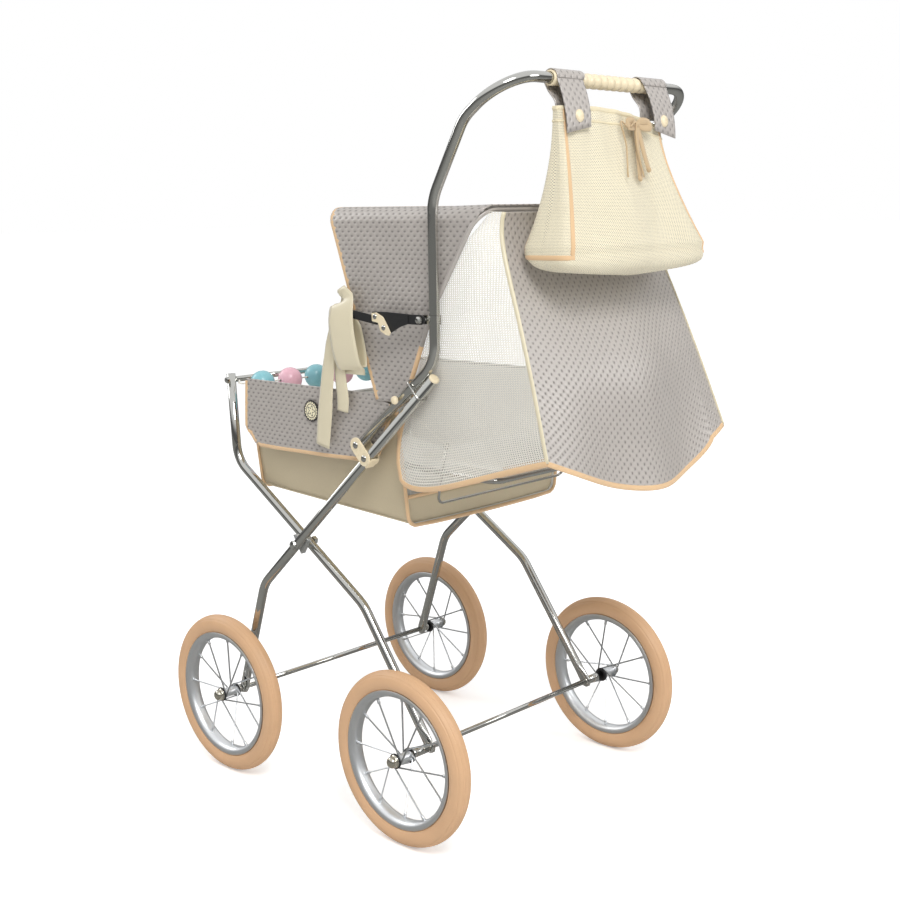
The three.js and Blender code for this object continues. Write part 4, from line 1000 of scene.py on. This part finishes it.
# ---------------------------------------------------------------- balls on their string
def make_balls():
    """Six balls, pink and teal in turn, on a string between the front bar's ends."""
    centre = (-172, 526)
    ends, near = (-188, 531), (-178, 527)
    places = [(-bar_end, ends), (-140, near), (0, centre), (140, near), (bar_end, ends)]
    parts = [tube("string", catmull([place(x, at) for x, at in places], 10), CORD, CORD_FIBRE, 10)]
    for k in range(BALLS):
        x = (k - (BALLS - 1) / 2) * BALL_SPACING
        steps = 20
        profile = []
        for i in range(steps + 1):
            angle = math.pi * i / steps
            radius = max(1.6, BALL_RADIUS * math.sin(angle))
            seam = 0.25 * math.exp(-((math.cos(angle) * BALL_RADIUS / 0.7) ** 2))
            profile.append((radius - seam if radius > 4 else radius, x - BALL_RADIUS * math.cos(angle)))
        parts.append(turned("ball", profile, centre, PINK if k % 2 == 0 else TEAL, 40))
    on("rear_frame", "bead_plastic", join("ball_string_threaded", parts), "ball_string")


make_balls()


# ---------------------------------------------------------------- the tub
def tub_floor(y):
    return mix(388, TUB_BOTTOM_Z, (y - TUB_FRONT) / (TUB_REAR - TUB_FRONT))


def tub_half(z):
    return mix(TUB_BOTTOM_HALF, TUB_RIM_HALF, (z - TUB_BOTTOM_Z) / (TUB_RIM_Z - TUB_BOTTOM_Z))


def piping(name, line, radius=1.5, material=PIPING, body="root", slot="leatherette"):
    return on(body, slot, tube(name, line, radius, material, 12))


def squash_with_chassis(piece):
    """Gives the piece a mesh of its own."""
    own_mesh(piece)


def tub_section(share, y, bulge):
    """The (x, z) at that share of the way from the left rim, round the bottom corners, to the right rim."""
    floor, corner, wall = tub_floor(y), 14.0, 0.34
    hand = LEFT if share < 0.5 else RIGHT
    t = share if share < 0.5 else 1 - share
    if t < wall:
        z = mix(TUB_RIM_Z, floor + corner, t / wall)
        out = bulge * math.sin(math.pi * t / wall) ** 2
        return hand * (tub_half(z) + out), z
    bottom = tub_half(floor + corner)
    turn = wall + 0.05
    if t < turn:
        angle = (t - wall) / (turn - wall) * math.pi / 2
        return hand * (bottom - corner + corner * math.cos(angle)), floor + corner - corner * math.sin(angle)
    across = (t - turn) / (0.5 - turn)
    return hand * (bottom - corner) * (1 - across), floor - 1.5 * math.sin(math.pi * across / 2)


def make_tub():
    """Side walls and floor in one sheet, a front and a low rear wall sewn to it, piped along the seams."""
    def body(u, v):
        y = mix(TUB_FRONT, TUB_REAR, v)
        x, z = tub_section(u, y, 1.2 * math.sin(math.pi * v))
        return place(x, (y, z))

    def end_wall(y, top, lean, bulge):
        def point(u, v):
            x, low = tub_section(0.34 + 0.32 * u, y, 0)
            z = mix(low, top, v)
            half = tub_half(z) * mix(0.96, 1.0, v)
            x = mix(x, math.copysign(half * abs(1 - 2 * u), x), smooth(v * 3))
            out = bulge * math.sin(math.pi * min(1, v * 1.1)) * (1 - (1 - 2 * u) ** 2)
            return place(x, (y + lean * (1 - v) + out, z))
        return point

    shell = grid("shell", body, 96, 28, [LEATHER, COTTON])
    front = grid("front", end_wall(TUB_FRONT, TUB_FRONT_LIP_Z, 1, -1.5), 40, 16, [COTTON, LEATHER])
    rear = grid("rear", end_wall(TUB_REAR, TUB_REAR_LIP_Z, -4, 1.0), 40, 8, [LEATHER, COTTON])
    tub = join("tub_sewn", [thicken(sheet, 2.4, -1.0, 1) for sheet in (shell, front, rear)])
    on("root", "leatherette", tub, "tub")

    def end_seam(y):
        """Round the tub's section, a little outside its walls and below its floor."""
        seam = []
        for k in range(61):
            x, z = tub_section(k / 60, y, 0)
            aside = 0 if abs(x) < 90 else math.copysign(0.6, x)
            lower = 0.6 if abs(x) < 110 else 0
            seam.append(place(x + aside, (y, z - lower)))
        return seam

    def across(y, z, wall_z):
        """Straight across, between the side walls where they are at the height wall_z."""
        half = tub_half(wall_z) - 1
        return [place(mix(-half, half, k / 30), (y, z)) for k in range(31)]

    trims = [
        piping("tub_rear_piping", end_seam(TUB_REAR), 2.4),
        piping("tub_front_piping", end_seam(TUB_FRONT), 2.0),
        piping("tub_rear_lip_piping", across(TUB_REAR, TUB_REAR_LIP_Z + 0.8, TUB_REAR_LIP_Z), 2.4),
    ]
    for hand, side in SIDES:
        rim = [place(side * TUB_RIM_HALF, (mix(TUB_FRONT, TUB_REAR, k / 30), TUB_RIM_Z)) for k in range(31)]
        trims.append(piping(f"tub_rim_piping_{hand}", rim, material=COTTON))
    front_rim = across(TUB_FRONT, TUB_FRONT_LIP_Z, TUB_FRONT_LIP_Z)
    trims.append(piping("tub_front_rim_piping", front_rim, material=COTTON))
    for hand, side in SIDES:
        seam = []
        for k in range(41):
            y = mix(TUB_FRONT + 3, TUB_REAR - 3, k / 40)
            seam.append(place(side * (tub_half(tub_floor(y) + 12) - 1.2), (y, tub_floor(y) + 4.6)))
        trims.append(piping(f"tub_bottom_seam_{hand}", seam, 0.7, LEATHER))
    for piece in [tub, *trims]:
        squash_with_chassis(piece)


make_tub()


# ---------------------------------------------------------------- aprons and badge
def make_apron(hand, side):
    """The quilted panel that hangs over the tub's side, with a slack lower edge bound in piping."""
    front = -152

    def outline(u, v):
        """The (y, z) of a place on the panel. Its rounded lower corners come from pulling the hem up and the
        end edges in."""
        top = 538 - 11 * smooth((u - 0.9) / 0.1)
        hem = mix(451, 456, u) - 1.5 * math.sin(math.pi * u) + 14 * max(0.0, 1 - u / 0.075) ** 2.4
        hem += 16 * max(0.0, (u - 0.93) / 0.07) ** 2.4
        y_front = mix(front, front - 5, v) + 11 * max(0.0, (v - 0.86) / 0.14) ** 2.4
        y_rear = mix(123, 110, smooth(v * 1.15)) - 6 * max(0.0, (v - 0.86) / 0.14) ** 2
        return mix(y_front, y_rear, u), mix(top, hem, v)

    def point(u, v):
        y, z = outline(u, v)
        slack = 1.4 * math.sin(math.pi * v) * math.sin(math.pi * u) + 0.5 * math.sin(17 * u + 4 * v) * v
        return place(side * (APRON_PLANE + 1.2 + slack), (y, z))

    def flat(u, v):
        y, z = outline(u, v)
        return z * MM, y * MM

    panel = grid(f"apron_{hand}_quilted", point, 190, 60, GREY, flat)
    dimple(panel, place(0, (0, 500)))
    thicken(panel, 1.4)
    on("root", "grey_quilt", panel, f"apron_{hand}")
    route = [(0, k / 24) for k in range(1, 24)]
    route += [(k / 60, 1) for k in range(61)]
    route += [(1, 1 - k / 24) for k in range(1, 25)]
    hem = band(f"apron_{hand}_binding", point, route, 5.5, PIPING, 1.5)
    on("root", "grey_quilt", hem)
    for piece in (panel, hem):
        squash_with_chassis(piece)


def make_badge():
    """A round woven patch with a scalloped edge."""
    scallops, steps = 20, 160
    outline = []
    for k in range(steps):
        angle = 2 * math.pi * k / steps
        radius = 13.2 + 0.8 * abs(math.cos(scallops / 2 * angle))
        y, z = BADGE_CENTRE[0] + radius * math.cos(angle), BADGE_CENTRE[1] + radius * math.sin(angle)
        outline.append((y, z))
    patch = plate("badge_rosette", outline, APRON_PLANE + 4.2, APRON_PLANE + 5.6, BADGE, 0.35)
    on("root", "badge_cloth", patch, "badge")
    squash_with_chassis(patch)


for hand, side in SIDES:
    make_apron(hand, side)
make_badge()


# ---------------------------------------------------------------- pads
def inflate(piece, pressure, cap):
    """Puffs the closed mesh up by a short cloth simulation in which no point moves further than cap mm."""
    start = np.array([v.co for v in piece.data.vertices])
    cloth = piece.modifiers.new("cloth", "CLOTH")
    cloth.settings.use_pressure = True
    cloth.settings.uniform_pressure_force = pressure
    cloth.settings.effector_weights.gravity = 0
    cloth.point_cache.frame_start, cloth.point_cache.frame_end = 1, 20
    for number in range(1, 21):
        bpy.context.scene.frame_set(number)
    graph = bpy.context.evaluated_depsgraph_get()
    moved = np.array([v.co for v in piece.evaluated_get(graph).data.vertices])
    piece.modifiers.clear()
    shift = moved - start
    length = np.linalg.norm(shift, axis=1, keepdims=True)
    shift *= np.minimum(1.0, cap * MM / np.maximum(length, 1e-9))
    piece.data.vertices.foreach_set("co", (start + shift).ravel())
    bpy.context.scene.frame_set(1)


def make_pad(name, node, body, half, front, rear, under, top, cap):
    """A stuffed pad with a crown, pinched edges and a piped rear edge. It starts as a slab a little smaller
    than its space, whose under and top give the z at each y."""
    edge = 14

    def shape(sign):
        def point(u, v):
            x = mix(-half, half, u)
            y = mix(front, rear, v)
            rim = min(1.0, min(half - abs(x), y - front, rear - y) / edge)
            crown = math.sqrt(max(0.0, 1 - (1 - rim) ** 2))
            low, high = under(y), top(y)
            middle = (low + high) / 2
            return place(x, (y, middle + sign * crown * ((high - low) / 2 - 1.5)))
        return point

    halves = [grid("half", shape(sign), 30, 30, COTTON) for sign in (1, -1)]
    pad = face_out(join(name, halves), 2e-5)
    inflate(pad, 4.0, cap)
    fine = pad.modifiers.new("fine", "SUBSURF")
    fine.levels = fine.render_levels = 1
    apply_modifiers(pad)
    pad.data.shade_smooth()
    on(body, "padding", pad, node)
    middle = (under(rear) + top(rear)) / 2
    rear_edge = [place(mix(-half, half, k / 24), (rear, middle)) for k in range(25)]
    piping(f"{name}_piping", rear_edge, 1.6, body=body, slot="padding")


mattress_low = lambda y: tub_floor(y) + 4 + 5.8
mattress_high = lambda y: mattress_low(y) + 34
make_pad("mattress_pad", "mattress", "root", 110, -138, 102, mattress_low, mattress_high, cap=6)
make_pad("backrest_cushion", "backrest_pad", "backrest", 109, 113, 253, lambda y: 450, lambda y: 464, cap=3)


# ---------------------------------------------------------------- hood
def rear_bow_y(z):
    """The y of the rear bow's side at a height."""
    low, high = (HOOD_PIVOT, REAR_BOW_WAIST) if z < REAR_BOW_WAIST[1] else (REAR_BOW_WAIST, REAR_BOW_TOP)
    return mix(low[0], high[0], (z - low[1]) / (high[1] - low[1]))


def arch_place(distance, half, bottom, top, corner):
    """The (x, z) of a point that is that distance along the arch, which rises from the left hem."""
    wall, bend = top - corner - bottom, corner * math.pi / 2
    span = wall + bend + half - corner
    hand = LEFT if distance <= span else RIGHT
    d = distance if distance <= span else 2 * span - distance
    if d < wall:
        return hand * half, bottom + d
    if d < wall + bend:
        angle = (d - wall) / corner
        return hand * (half - corner + corner * math.cos(angle)), top - corner + corner * math.sin(angle)
    return hand * (half - corner - (d - wall - bend)), top


FAN_LOWEST_Z = 545
SLEEVE_FOOT_Z = 600
ARCH = 2 * (HOOD_TOP_Z - HOOD_CORNER - HOOD_BOTTOM_Z + HOOD_CORNER * math.pi / 2 + HOOD_HALF - HOOD_CORNER)


def hood_front_y(z):
    return mix(103, 23, min(1.0, (z - HOOD_BOTTOM_Z) / (HOOD_TOP_Z - HOOD_BOTTOM_Z)))


def hood_point(u, v):
    """The canopy, v from its front edge to the rear bow: it is stretched between the bows, and creases
    run from the stay's pin."""
    x, z = arch_place(u * ARCH, HOOD_HALF, HOOD_BOTTOM_Z, HOOD_TOP_Z, HOOD_CORNER)
    height = (z - HOOD_BOTTOM_Z) / (HOOD_TOP_Z - HOOD_BOTTOM_Z)
    y = mix(hood_front_y(z), rear_bow_y(z) + 1, v)
    between = math.sin(math.pi * min(1, max(0, (v - 0.04) / 0.96)))
    on_top = smooth((height - 0.9) / 0.1)
    side = LEFT if x > 0 else RIGHT
    sag = 2.2 * between * on_top * (0.55 + 0.45 * math.cos(math.pi * x / (2 * HOOD_HALF)))
    far = math.hypot(y - STAY_FRONT[0], z - STAY_FRONT[1])
    spoke_angle = math.atan2(z - STAY_FRONT[1], y - STAY_FRONT[0])
    crease = 1.6 * math.sin(5 * spoke_angle + 0.8) * math.exp(-((far - 46) / 40) ** 2) * smooth(far / 12)
    pull = 2.2 * between * (1 - on_top)
    ripple = 0.6 * math.sin(z / 13.0 + y / 19.0) * between * (1 - on_top)
    x -= side * (pull - crease * between * (1 - on_top) - ripple)
    z -= sag - 0.6 * on_top * math.sin(x / 23.0) * between
    return place(x, (y, z))


def hood_flat(u, v):
    z = arch_place(u * ARCH, HOOD_HALF, HOOD_BOTTOM_Z, HOOD_TOP_Z, HOOD_CORNER)[1]
    return u * ARCH * MM, mix(hood_front_y(z), rear_bow_y(z), v) * MM


def set_fan_weights(piece):
    """Works out, for each point, the rear bow's angle about the hood's pin at that point's height; it sets
    nothing.
    """
    pivot = place(0, HOOD_PIVOT)
    angle_of = lambda at: math.atan2(at[2] - pivot.z, at[1] - pivot.y)
    front = angle_of(place(0, FRONT_BOW_TOP))
    for vertex in piece.data.vertices:
        z = max(FAN_LOWEST_Z, vertex.co.z / MM)
        rear = angle_of(place(0, (rear_bow_y(z), z)))


def make_hood():
    """The canopy with its bindings, and the sleeve that holds its rear edge to the rear bow."""
    canopy = grid("hood_canopy", hood_point, 380, 120, GREY, hood_flat)
    dimple(canopy, place(0, (150, 620)))
    thicken(canopy, 1.5, -1.0)
    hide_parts("hood")
    hems = [band("hood_front_binding", hood_point, [(k / 200, 0.01) for k in range(201)], 8.0, PIPING, 1.7)]
    for hand, u in (("left", 0.0), ("right", 1.0)):
        hems.append(band(f"hood_hem_{hand}", hood_point, [(u, k / 20) for k in range(21)], 4.0, GREY, 1.4))
    for piece in (canopy, *hems):
        place(0, REAR_BOW_TOP)
        place(0, FRONT_BOW_TOP)
        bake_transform(piece)
        set_fan_weights(piece)
    foot = (rear_bow_y(SLEEVE_FOOT_Z), SLEEVE_FOOT_Z)
    turns = ((foot, 0), (REAR_BOW_WAIST, 12), (REAR_BOW_TOP, 28))
    corners = [(place(REAR_BOW_PLANE, at), radius) for at, radius in turns]
    on("handle", "grey_quilt", tube("rear_bow_sleeve", round_corners(mirrored(corners)), 2.7, GREY, 14))
    for hand, side in SIDES:
        line = [place(side * REAR_BOW_PLANE, (rear_bow_y(z), z)) for z in (545, 560, 580, SLEEVE_FOOT_Z)]
        on("handle", "grey_quilt", tube(f"rear_bow_binding_{hand}", line, 2.8, PIPING, 14))


make_hood()


# ---------------------------------------------------------------- cape
CAPE_TOP_Z, CAPE_TOP_HALF = 751, 157
CAPE_FRONT_CORNER = (128, 447)


def cape_front_edge(v):
    """The (y, z) of a window's front edge: down the rear bow, then forward to the rounded lower corner."""
    foot_share, foot_z = 0.74, 545
    foot = (rear_bow_y(foot_z) + 3, foot_z)
    if v > foot_share:
        t = (v - foot_share) / (1 - foot_share)
        y, z = (mix(a, b, t) for a, b in zip(foot, CAPE_FRONT_CORNER))
        return y - 9 * math.sin(math.pi * t), z
    z = mix(CAPE_TOP_Z, foot_z, v / foot_share)
    return rear_bow_y(z) + 3, z


def cape_seam(v):
    """Half-width, y and z of the seam between a side window and the back panel."""
    y = mix(266, 370, v) + 17 * (1 - v) ** 12 + 4 * math.sin(math.pi * v)
    return mix(138, 171, v), y, mix(CAPE_TOP_Z - 1, 486, v)


def window_point(side, u, v):
    """A side window, u from the rear bow back to the seam. Soft vertical folds deepen towards the hem."""
    half, seam_y, seam_z = cape_seam(v)
    front_y, front_z = cape_front_edge(v)
    dip = 26 * v**4 * math.sin(math.pi * u**0.5) * (1 - 0.35 * u)
    bow_half = mix(CAPE_TOP_HALF - 8, 163.5, smooth(v / 0.12)) - 6.5 * smooth((v - 0.55) / 0.2)
    out = 9 * math.sin(math.pi * u) * smooth(v * 3)
    x = mix(bow_half, half, u**1.6) + out * (0.3 + 0.7 * v)
    fold = 2.0 * v**1.5 * math.sin(math.pi * u) * math.sin(13 * u + 2)
    return place(side * (x + fold), (mix(front_y, seam_y, u), mix(front_z, seam_z, u) - dip))


def back_point(u, v):
    """The back panel, u from the left seam to the right. It swells to a soft ridge, then hangs straight
    and ripples to its wavy hem, which hangs lower on the far side."""
    half, seam_y, seam_z = cape_seam(v)
    across = 1 - abs(2 * u - 1)
    side = LEFT if u < 0.5 else RIGHT
    bow = math.sin(math.pi / 2 * across)
    x = side * half * (1 - across)
    ripple = 6.0 * v**2 * math.sin(2 * math.pi * (2.1 * u + 0.1)) * bow
    cross = 1.6 * math.sin(8 * v + 5 * u) * v * bow
    ridge = 15 * math.exp(-(((v - 0.62) / 0.2) ** 2)) * bow
    hang = -16 * smooth((v - 0.6) / 0.4) * bow
    z = seam_z - 42 * v**3 * bow - 24 * v**3 * math.sin(math.pi * min(1, u * 1.1)) ** 0.5 * u**1.5
    return place(x, (seam_y + 26 * v * bow + ridge * 0.7 + hang * 0.7 + ripple + cross, z))


def measured_flat(point, columns, rows, centre=0.5):
    """Cloth coordinates for a surface: the distance along each row from the middle column, and down that
    column. centre is the u of the middle column."""
    middle = round(centre * columns)
    table = {}
    down = 0.0
    for j in range(rows + 1):
        row = [point(i / columns, j / rows) for i in range(columns + 1)]
        if j:
            down += (row[middle] - before).length
        before = row[middle]
        along = 0.0
        table[middle, j] = (0.0, down)
        for i in range(middle + 1, columns + 1):
            along += (row[i] - row[i - 1]).length
            table[i, j] = (along, down)
        along = 0.0
        for i in range(middle - 1, -1, -1):
            along -= (row[i] - row[i + 1]).length
            table[i, j] = (along, down)
    return lambda u, v: table[round(u * columns), round(v * rows)]


def make_cape():
    """The quilted back panel and the two net windows, sewn together and bound."""
    back_grid, window_grid = (200, 150), (60, 80)
    back = grid("cape_back_panel", back_point, *back_grid, GREY, measured_flat(back_point, *back_grid))
    dimple(back, place(0, (200, 500)))
    thicken(back, 1.5)
    on("handle", "grey_quilt", back, "cape")
    hem = band("cape_back_hem", back_point, [(k / 160, 1) for k in range(161)], 6.5, PIPING, 1.6)
    on("handle", "grey_quilt", hem)
    for hand, side in SIDES:
        point = lambda u, v: window_point(side, u, v)
        flat = measured_flat(point, *window_grid, 0.0)
        window = grid(f"cape_window_{hand}", point, *window_grid, NET, flat)
        thicken(window, 0.3)
        on("handle", "cream_net", window)
        route = [(0, mix(0.74, 0.975, k / 24)) for k in range(25)]
        route += [(mix(0.02, 1, k / 60), 1) for k in range(61)]
        low = band(f"cape_hem_{hand}", point, route, 6.5, PIPING, 1.6)
        seam = band(f"cape_seam_{hand}", point, [(1, k / 80) for k in range(81)], 5.0, SATIN, 1.4)
        for trim in (low, seam):
            on("handle", "grey_quilt", trim)


make_cape()


# ---------------------------------------------------------------- satin ribbon bow
def dome_along(name, foot, direction, radius, height, material):
    """A domed cap that points along the direction."""
    steps = 7
    line, radii = [foot - direction * 0.6 * MM], [radius]
    for k in range(steps):
        angle = 0.5 * math.pi * k / steps
        line.append(foot + direction * height * math.sin(angle) * MM)
        radii.append(radius * math.cos(angle) ** 0.8)
    return tube(name, line, radii, material, 28)


def ribbon(name, spine, widths, normal_hint=Vector((1, 0, 0)), material=SATIN):
    """A cupped ribbon along the spine. widths, in mm, are spread evenly along it, and its flat side faces the
    hint."""
    line = catmull(spine, 8)
    count = len(line) - 1

    def width_at(share):
        place_in = share * (len(widths) - 1)
        index = min(len(widths) - 2, int(place_in))
        return mix(widths[index], widths[index + 1], smooth(place_in - index))

    def point(u, v):
        k = round(v * count)
        ahead = (line[min(count, k + 1)] - line[max(0, k - 1)]).normalized()
        across = normal_hint.cross(ahead)
        across = (across - ahead * across.dot(ahead)).normalized()
        cup = 1.2 * (1 - (2 * u - 1) ** 2)
        return line[k] + across * (u - 0.5) * width_at(v) * MM + normal_hint * cup * MM

    made = grid(name, point, 8, count, material)
    return thicken(made, 0.5)


def make_ribbon_bow():
    """One long flattened loop, folded over at its top and bottom, a knot and two tails."""
    knot = place(172, (44, 636))
    loop = [place(168, (48, 640)), place(170, (58, 646)), place(180, (61, 646)), place(185.5, (64, 622)),
            place(184.5, (68, 592)), place(180, (71, 571)), place(171, (71.5, 566)), place(167.6, (69, 580)),
            place(167.4, (64, 610)), place(168, (54, 636))]
    tail_long = [place(172, (43, 638)), place(174, (37, 612)), place(175, (32, 588)), place(176, (25, 545)),
                 place(175, (18, 505)), place(173, (10, 466))]
    tail_short = [place(170, (45, 638)), place(171, (43, 612)), place(171.5, (44, 586)),
                  place(173, (47, 555)), place(172, (49, 530)), place(171, (47, 513))]
    bow = [
        ribbon("loop", loop, [12, 30, 42, 44, 44, 42, 40, 40, 36, 14]),
        ribbon("tail", tail_long, [12, 15, 19, 23, 26, 25]),
        ribbon("tail", tail_short, [12, 15, 18, 20, 21, 20]),
        dome_along("knot", knot, Vector((1, 0, 0)), 8.5, 7.0, SATIN),
    ]
    piece = join("ribbon_bow_tied", bow)
    on("hood_bow", "satin", piece, "ribbon_bow")


make_ribbon_bow()


# ---------------------------------------------------------------- net bag
def bag_point(u, v):
    """The bag, u round it from the middle of the left side and v from the mouth down. It is gathered at the
    mouth, hangs in soft folds, and closes in a rounded bottom."""
    wall = min(1.0, v / 0.78)
    under = max(0.0, (v - 0.78) / 0.22)
    turn = under * math.pi / 2
    angle = 2 * math.pi * u
    squareness = 5.0
    cosine, sine = math.cos(angle), math.sin(angle)
    reach = (abs(cosine) ** squareness + abs(sine) ** squareness) ** (-1 / squareness)
    across, depth = reach * cosine, reach * sine
    z = mix(BAG_TOP_Z, BAG_WIDEST_Z - 8, wall)
    flare = min(1.0, (BAG_TOP_Z - z) / (BAG_TOP_Z - BAG_WIDEST_Z)) ** 1.9
    front, rear = mix(322, 290 + 7 * (1 - across**2), flare), mix(334, 371, flare)
    half = mix(106, 131, flare) if across > 0 else mix(84, 136, flare)
    inward = math.cos(turn)
    middle, thick = (front + rear) / 2, (rear - front) / 2
    gather = 2.4 * (1 - min(1, v * 1.5)) * math.sin(44 * u * math.pi) * abs(sine)
    fold = (2.5 + 9 * v if depth > 0 else 0.5) * math.sin(6.1 * across + 0.9)
    fold *= math.sin(math.pi * min(1, v * 1.05)) * abs(sine)
    sway = 5 * math.sin(math.pi * wall) * (1 - under) if depth > 0 else 0.0
    y = middle + depth * thick * max(0.02, inward) + 12 * math.sin(turn)
    y += (gather + fold) * inward * 0.55 + sway
    x = across * half * max(0.03, 1 - (1 - inward) ** 2.2)
    crown = 9 * (1 - v) ** 3 * (across - 0.1 + 0.9 * (1 - across**2))
    return place(x, (y, z - 27 * math.sin(turn) * (1 - 0.15 * across**2) + crown))


def bag_wrapped(u, v):
    """The bag's surface, for a u past either end of its seam."""
    return bag_point(u % 1.0, min(1, max(0, v)))


def bag_flat(u, v):
    """Cloth coordinates for the bag: round it at its widest, and down it."""
    girth = 2 * (2 * 123 + 80) * MM
    return u * girth, v * 0.24


def make_bag():
    """The net bag, hemmed and cased at its mouth and bound down its four corners and under its bottom."""
    net_bag = grid("net_bag_body", bag_point, 240, 100, BAG_NET, bag_flat, wrap=True)
    thicken(net_bag, 0.4)
    on("bag", "cream_net", net_bag, "net_bag")
    around = lambda v: [(k / 160 % 1.0, v) for k in range(161)]
    trims = [
        band("net_bag_mouth_hem", bag_wrapped, around(0.012), 5.0, BAG_HEM, 1.2, wraps=True),
        band("net_bag_casing", bag_wrapped, around(0.075), 3.0, BAG_HEM, 1.0, wraps=True),
    ]
    for hand, front_u, rear_u in (("left", -0.115, 0.115), ("right", 0.615, 0.385)):
        low = 0.8
        route = [(front_u, mix(0.01, low, k / 40)) for k in range(40)]
        route += [(mix(front_u, rear_u, k / 16), low) for k in range(17)]
        route += [(rear_u, mix(low, 0.01, k / 40)) for k in range(1, 41)]
        trims.append(band(f"net_bag_binding_{hand}", bag_wrapped, route, 5.5, PIPING, 1.3, wraps=True))
    for trim in trims:
        on("bag", "cream_net", trim)


make_bag()


def make_strap(hand, side):
    """A quilted strap from the bag's rear face up over the grip and down behind the mouth, with a snap."""
    y, z = GRIP
    radius = GRIP_RADIUS + 1.2
    steps = 22
    line = [(y + 23, 836), (y + 22, 852), (y + radius + 7, z - 18)]
    for k in range(steps + 1):
        angle = math.radians(-8 + 216 * k / steps)
        line.append((y + radius * math.cos(angle), z + radius * math.sin(angle)))
    line += [(y - 3, z - 14), (y + 6, 866), (y + 7.5, 852)]
    points = catmull([place(0, at) for at in line], 3)
    count = len(points) - 1

    def point(u, v):
        p = points[round(v * count)]
        hanging = 1 - smooth(v * 4)
        slant = 4 * MM * (1 - smooth(v * 8)) * (1 - 2 * u)
        return Vector((side * mix(53 + 7 * hanging, 101, u) * MM, p.y, p.z + slant))

    columns = 26
    flat = measured_flat(point, columns, count)
    strap = grid(f"bag_strap_{hand}_quilted", point, columns, count, GREY, flat)
    thicken(strap, 1.2, 0.0)
    on("bag", "grey_quilt", strap, f"bag_strap_{hand}")
    snap_at = (y + 22.6, 851)
    outward = Vector((0, 1, 0.08)).normalized()
    snap = dome_along(f"bag_snap_{hand}", place(side * 79, snap_at), outward, 7.0, 2.6, CREAM)
    on("bag", "cream_plastic", snap)


def make_drawstring_bow():
    """The tape tied in a small bow where it leaves the bag's casing."""
    away = lambda z: 341 + 0.13 * (853 - z)
    knot = place(-22, (away(845), 845))
    outward = Vector((0, 1, 0.18)).normalized()
    parts = []
    for side in (LEFT, RIGHT):
        at = lambda x, z, off=0.0: place(-22 + side * x, (away(z) + off, z))
        loop = [knot, at(8, 849, 2), at(19, 848, 3), at(20, 842, 4), at(9, 842, 2), knot]
        tail = [knot, at(3, 834, 1), at(6, 812, 3), at(9, 790 - 5 * side, 5)]
        parts.append(ribbon("loop", loop, [5, 8, 8, 8, 8, 5], outward, TAPE))
        parts.append(ribbon("tail", tail, [6, 8, 8, 8], outward, TAPE))
        parts.append(dome_along("tail_knot", tail[-1], outward, 3.6, 2.6, TAPE))
    parts.append(dome_along("knot", knot, outward, 3.4, 3.4, TAPE))
    bow = join("drawstring_bow", parts)
    on("bag", "cord", bow)


for hand, side in SIDES:
    make_strap(hand, side)
make_drawstring_bow()


# ---------------------------------------------------------------- floor and light
FLOOR_HALF = 60


def pale_floor():
    """A near white floor that glows a little to the camera, to meet the white world, and is darker where the
    chrome reflects it."""
    n = Nodes("pale_floor")
    tint = n.blend(n.noise(3, 2), colour(0.95, 0.95, 0.95), colour(0.94, 0.94, 0.94))
    path = n.node("LightPath").outputs
    glow = n.math("MULTIPLY", path["Is Camera Ray"], 0.33)
    tint = n.blend(path["Is Glossy Ray"], tint, colour(0.27, 0.27, 0.26))
    return n.finish(
        Base_Color=tint,
        Roughness=0.9,
        Specular_IOR_Level=0.0,
        Emission_Color=(1, 1, 1, 1),
        Emission_Strength=glow,
    )


def make_floor():
    corners = [(-FLOOR_HALF, -FLOOR_HALF, 0), (FLOOR_HALF, -FLOOR_HALF, 0)]
    corners += [(FLOOR_HALF, FLOOR_HALF, 0), (-FLOOR_HALF, FLOOR_HALF, 0)]
    new_piece("floor", corners, [(0, 1, 2, 3)], pale_floor())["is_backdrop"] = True


def area_light(name, position, size, watts):
    """A white round light that points at the middle of the pram."""
    data = bpy.data.lights.new(name, "AREA")
    data.shape, data.size, data.energy = "DISK", size, watts
    light = bpy.data.objects.new(name, data)
    light.location = position
    light.rotation_euler = (Vector((0, 0, 0.5)) - Vector(position)).to_track_quat("-Z", "Y").to_euler()
    bpy.context.scene.collection.objects.link(light)


def studio_world():
    """White to the camera. What lights the pram is a bright dome over a darker band near the horizon."""
    world = bpy.data.worlds.new("studio")
    bpy.context.scene.world = world
    world.use_nodes = True
    tree = world.node_tree
    new, link = tree.nodes.new, tree.links.new
    split = new("ShaderNodeSeparateXYZ")
    link(new("ShaderNodeTexCoord").outputs["Generated"], split.inputs[0])
    height = new("ShaderNodeMapRange")
    height.interpolation_type = "SMOOTHSTEP"
    for key, value in (("From Min", 0.15), ("From Max", 0.5), ("To Min", 0.14), ("To Max", 1.05)):
        height.inputs[key].default_value = value
    link(split.outputs["Z"], height.inputs["Value"])
    dome_light, white = new("ShaderNodeBackground"), new("ShaderNodeBackground")
    link(height.outputs[0], dome_light.inputs["Strength"])
    white.inputs["Color"].default_value = (1, 1, 1, 1)
    mixer = new("ShaderNodeMixShader")
    link(new("ShaderNodeLightPath").outputs["Is Camera Ray"], mixer.inputs[0])
    link(dome_light.outputs[0], mixer.inputs[1])
    link(white.outputs[0], mixer.inputs[2])
    link(mixer.outputs[0], tree.nodes["World Output"].inputs["Surface"])


make_floor()
studio_world()
area_light("key", (1.4, 2.0, 2.7), 1.3, 52)
area_light("fill", (-1.4, 2.6, 1.6), 1.2, 14)
area_light("rim", (0.8, -2.6, 2.0), 1.2, 14)
bpy.context.scene.view_settings.view_transform = "Standard"

# ---------------------------------------------------------------- sizes, and the end
as_list = lambda box: [list(corner) for corner in box]
{"cad": as_list(CAD_BOX), "visual": as_list(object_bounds())}
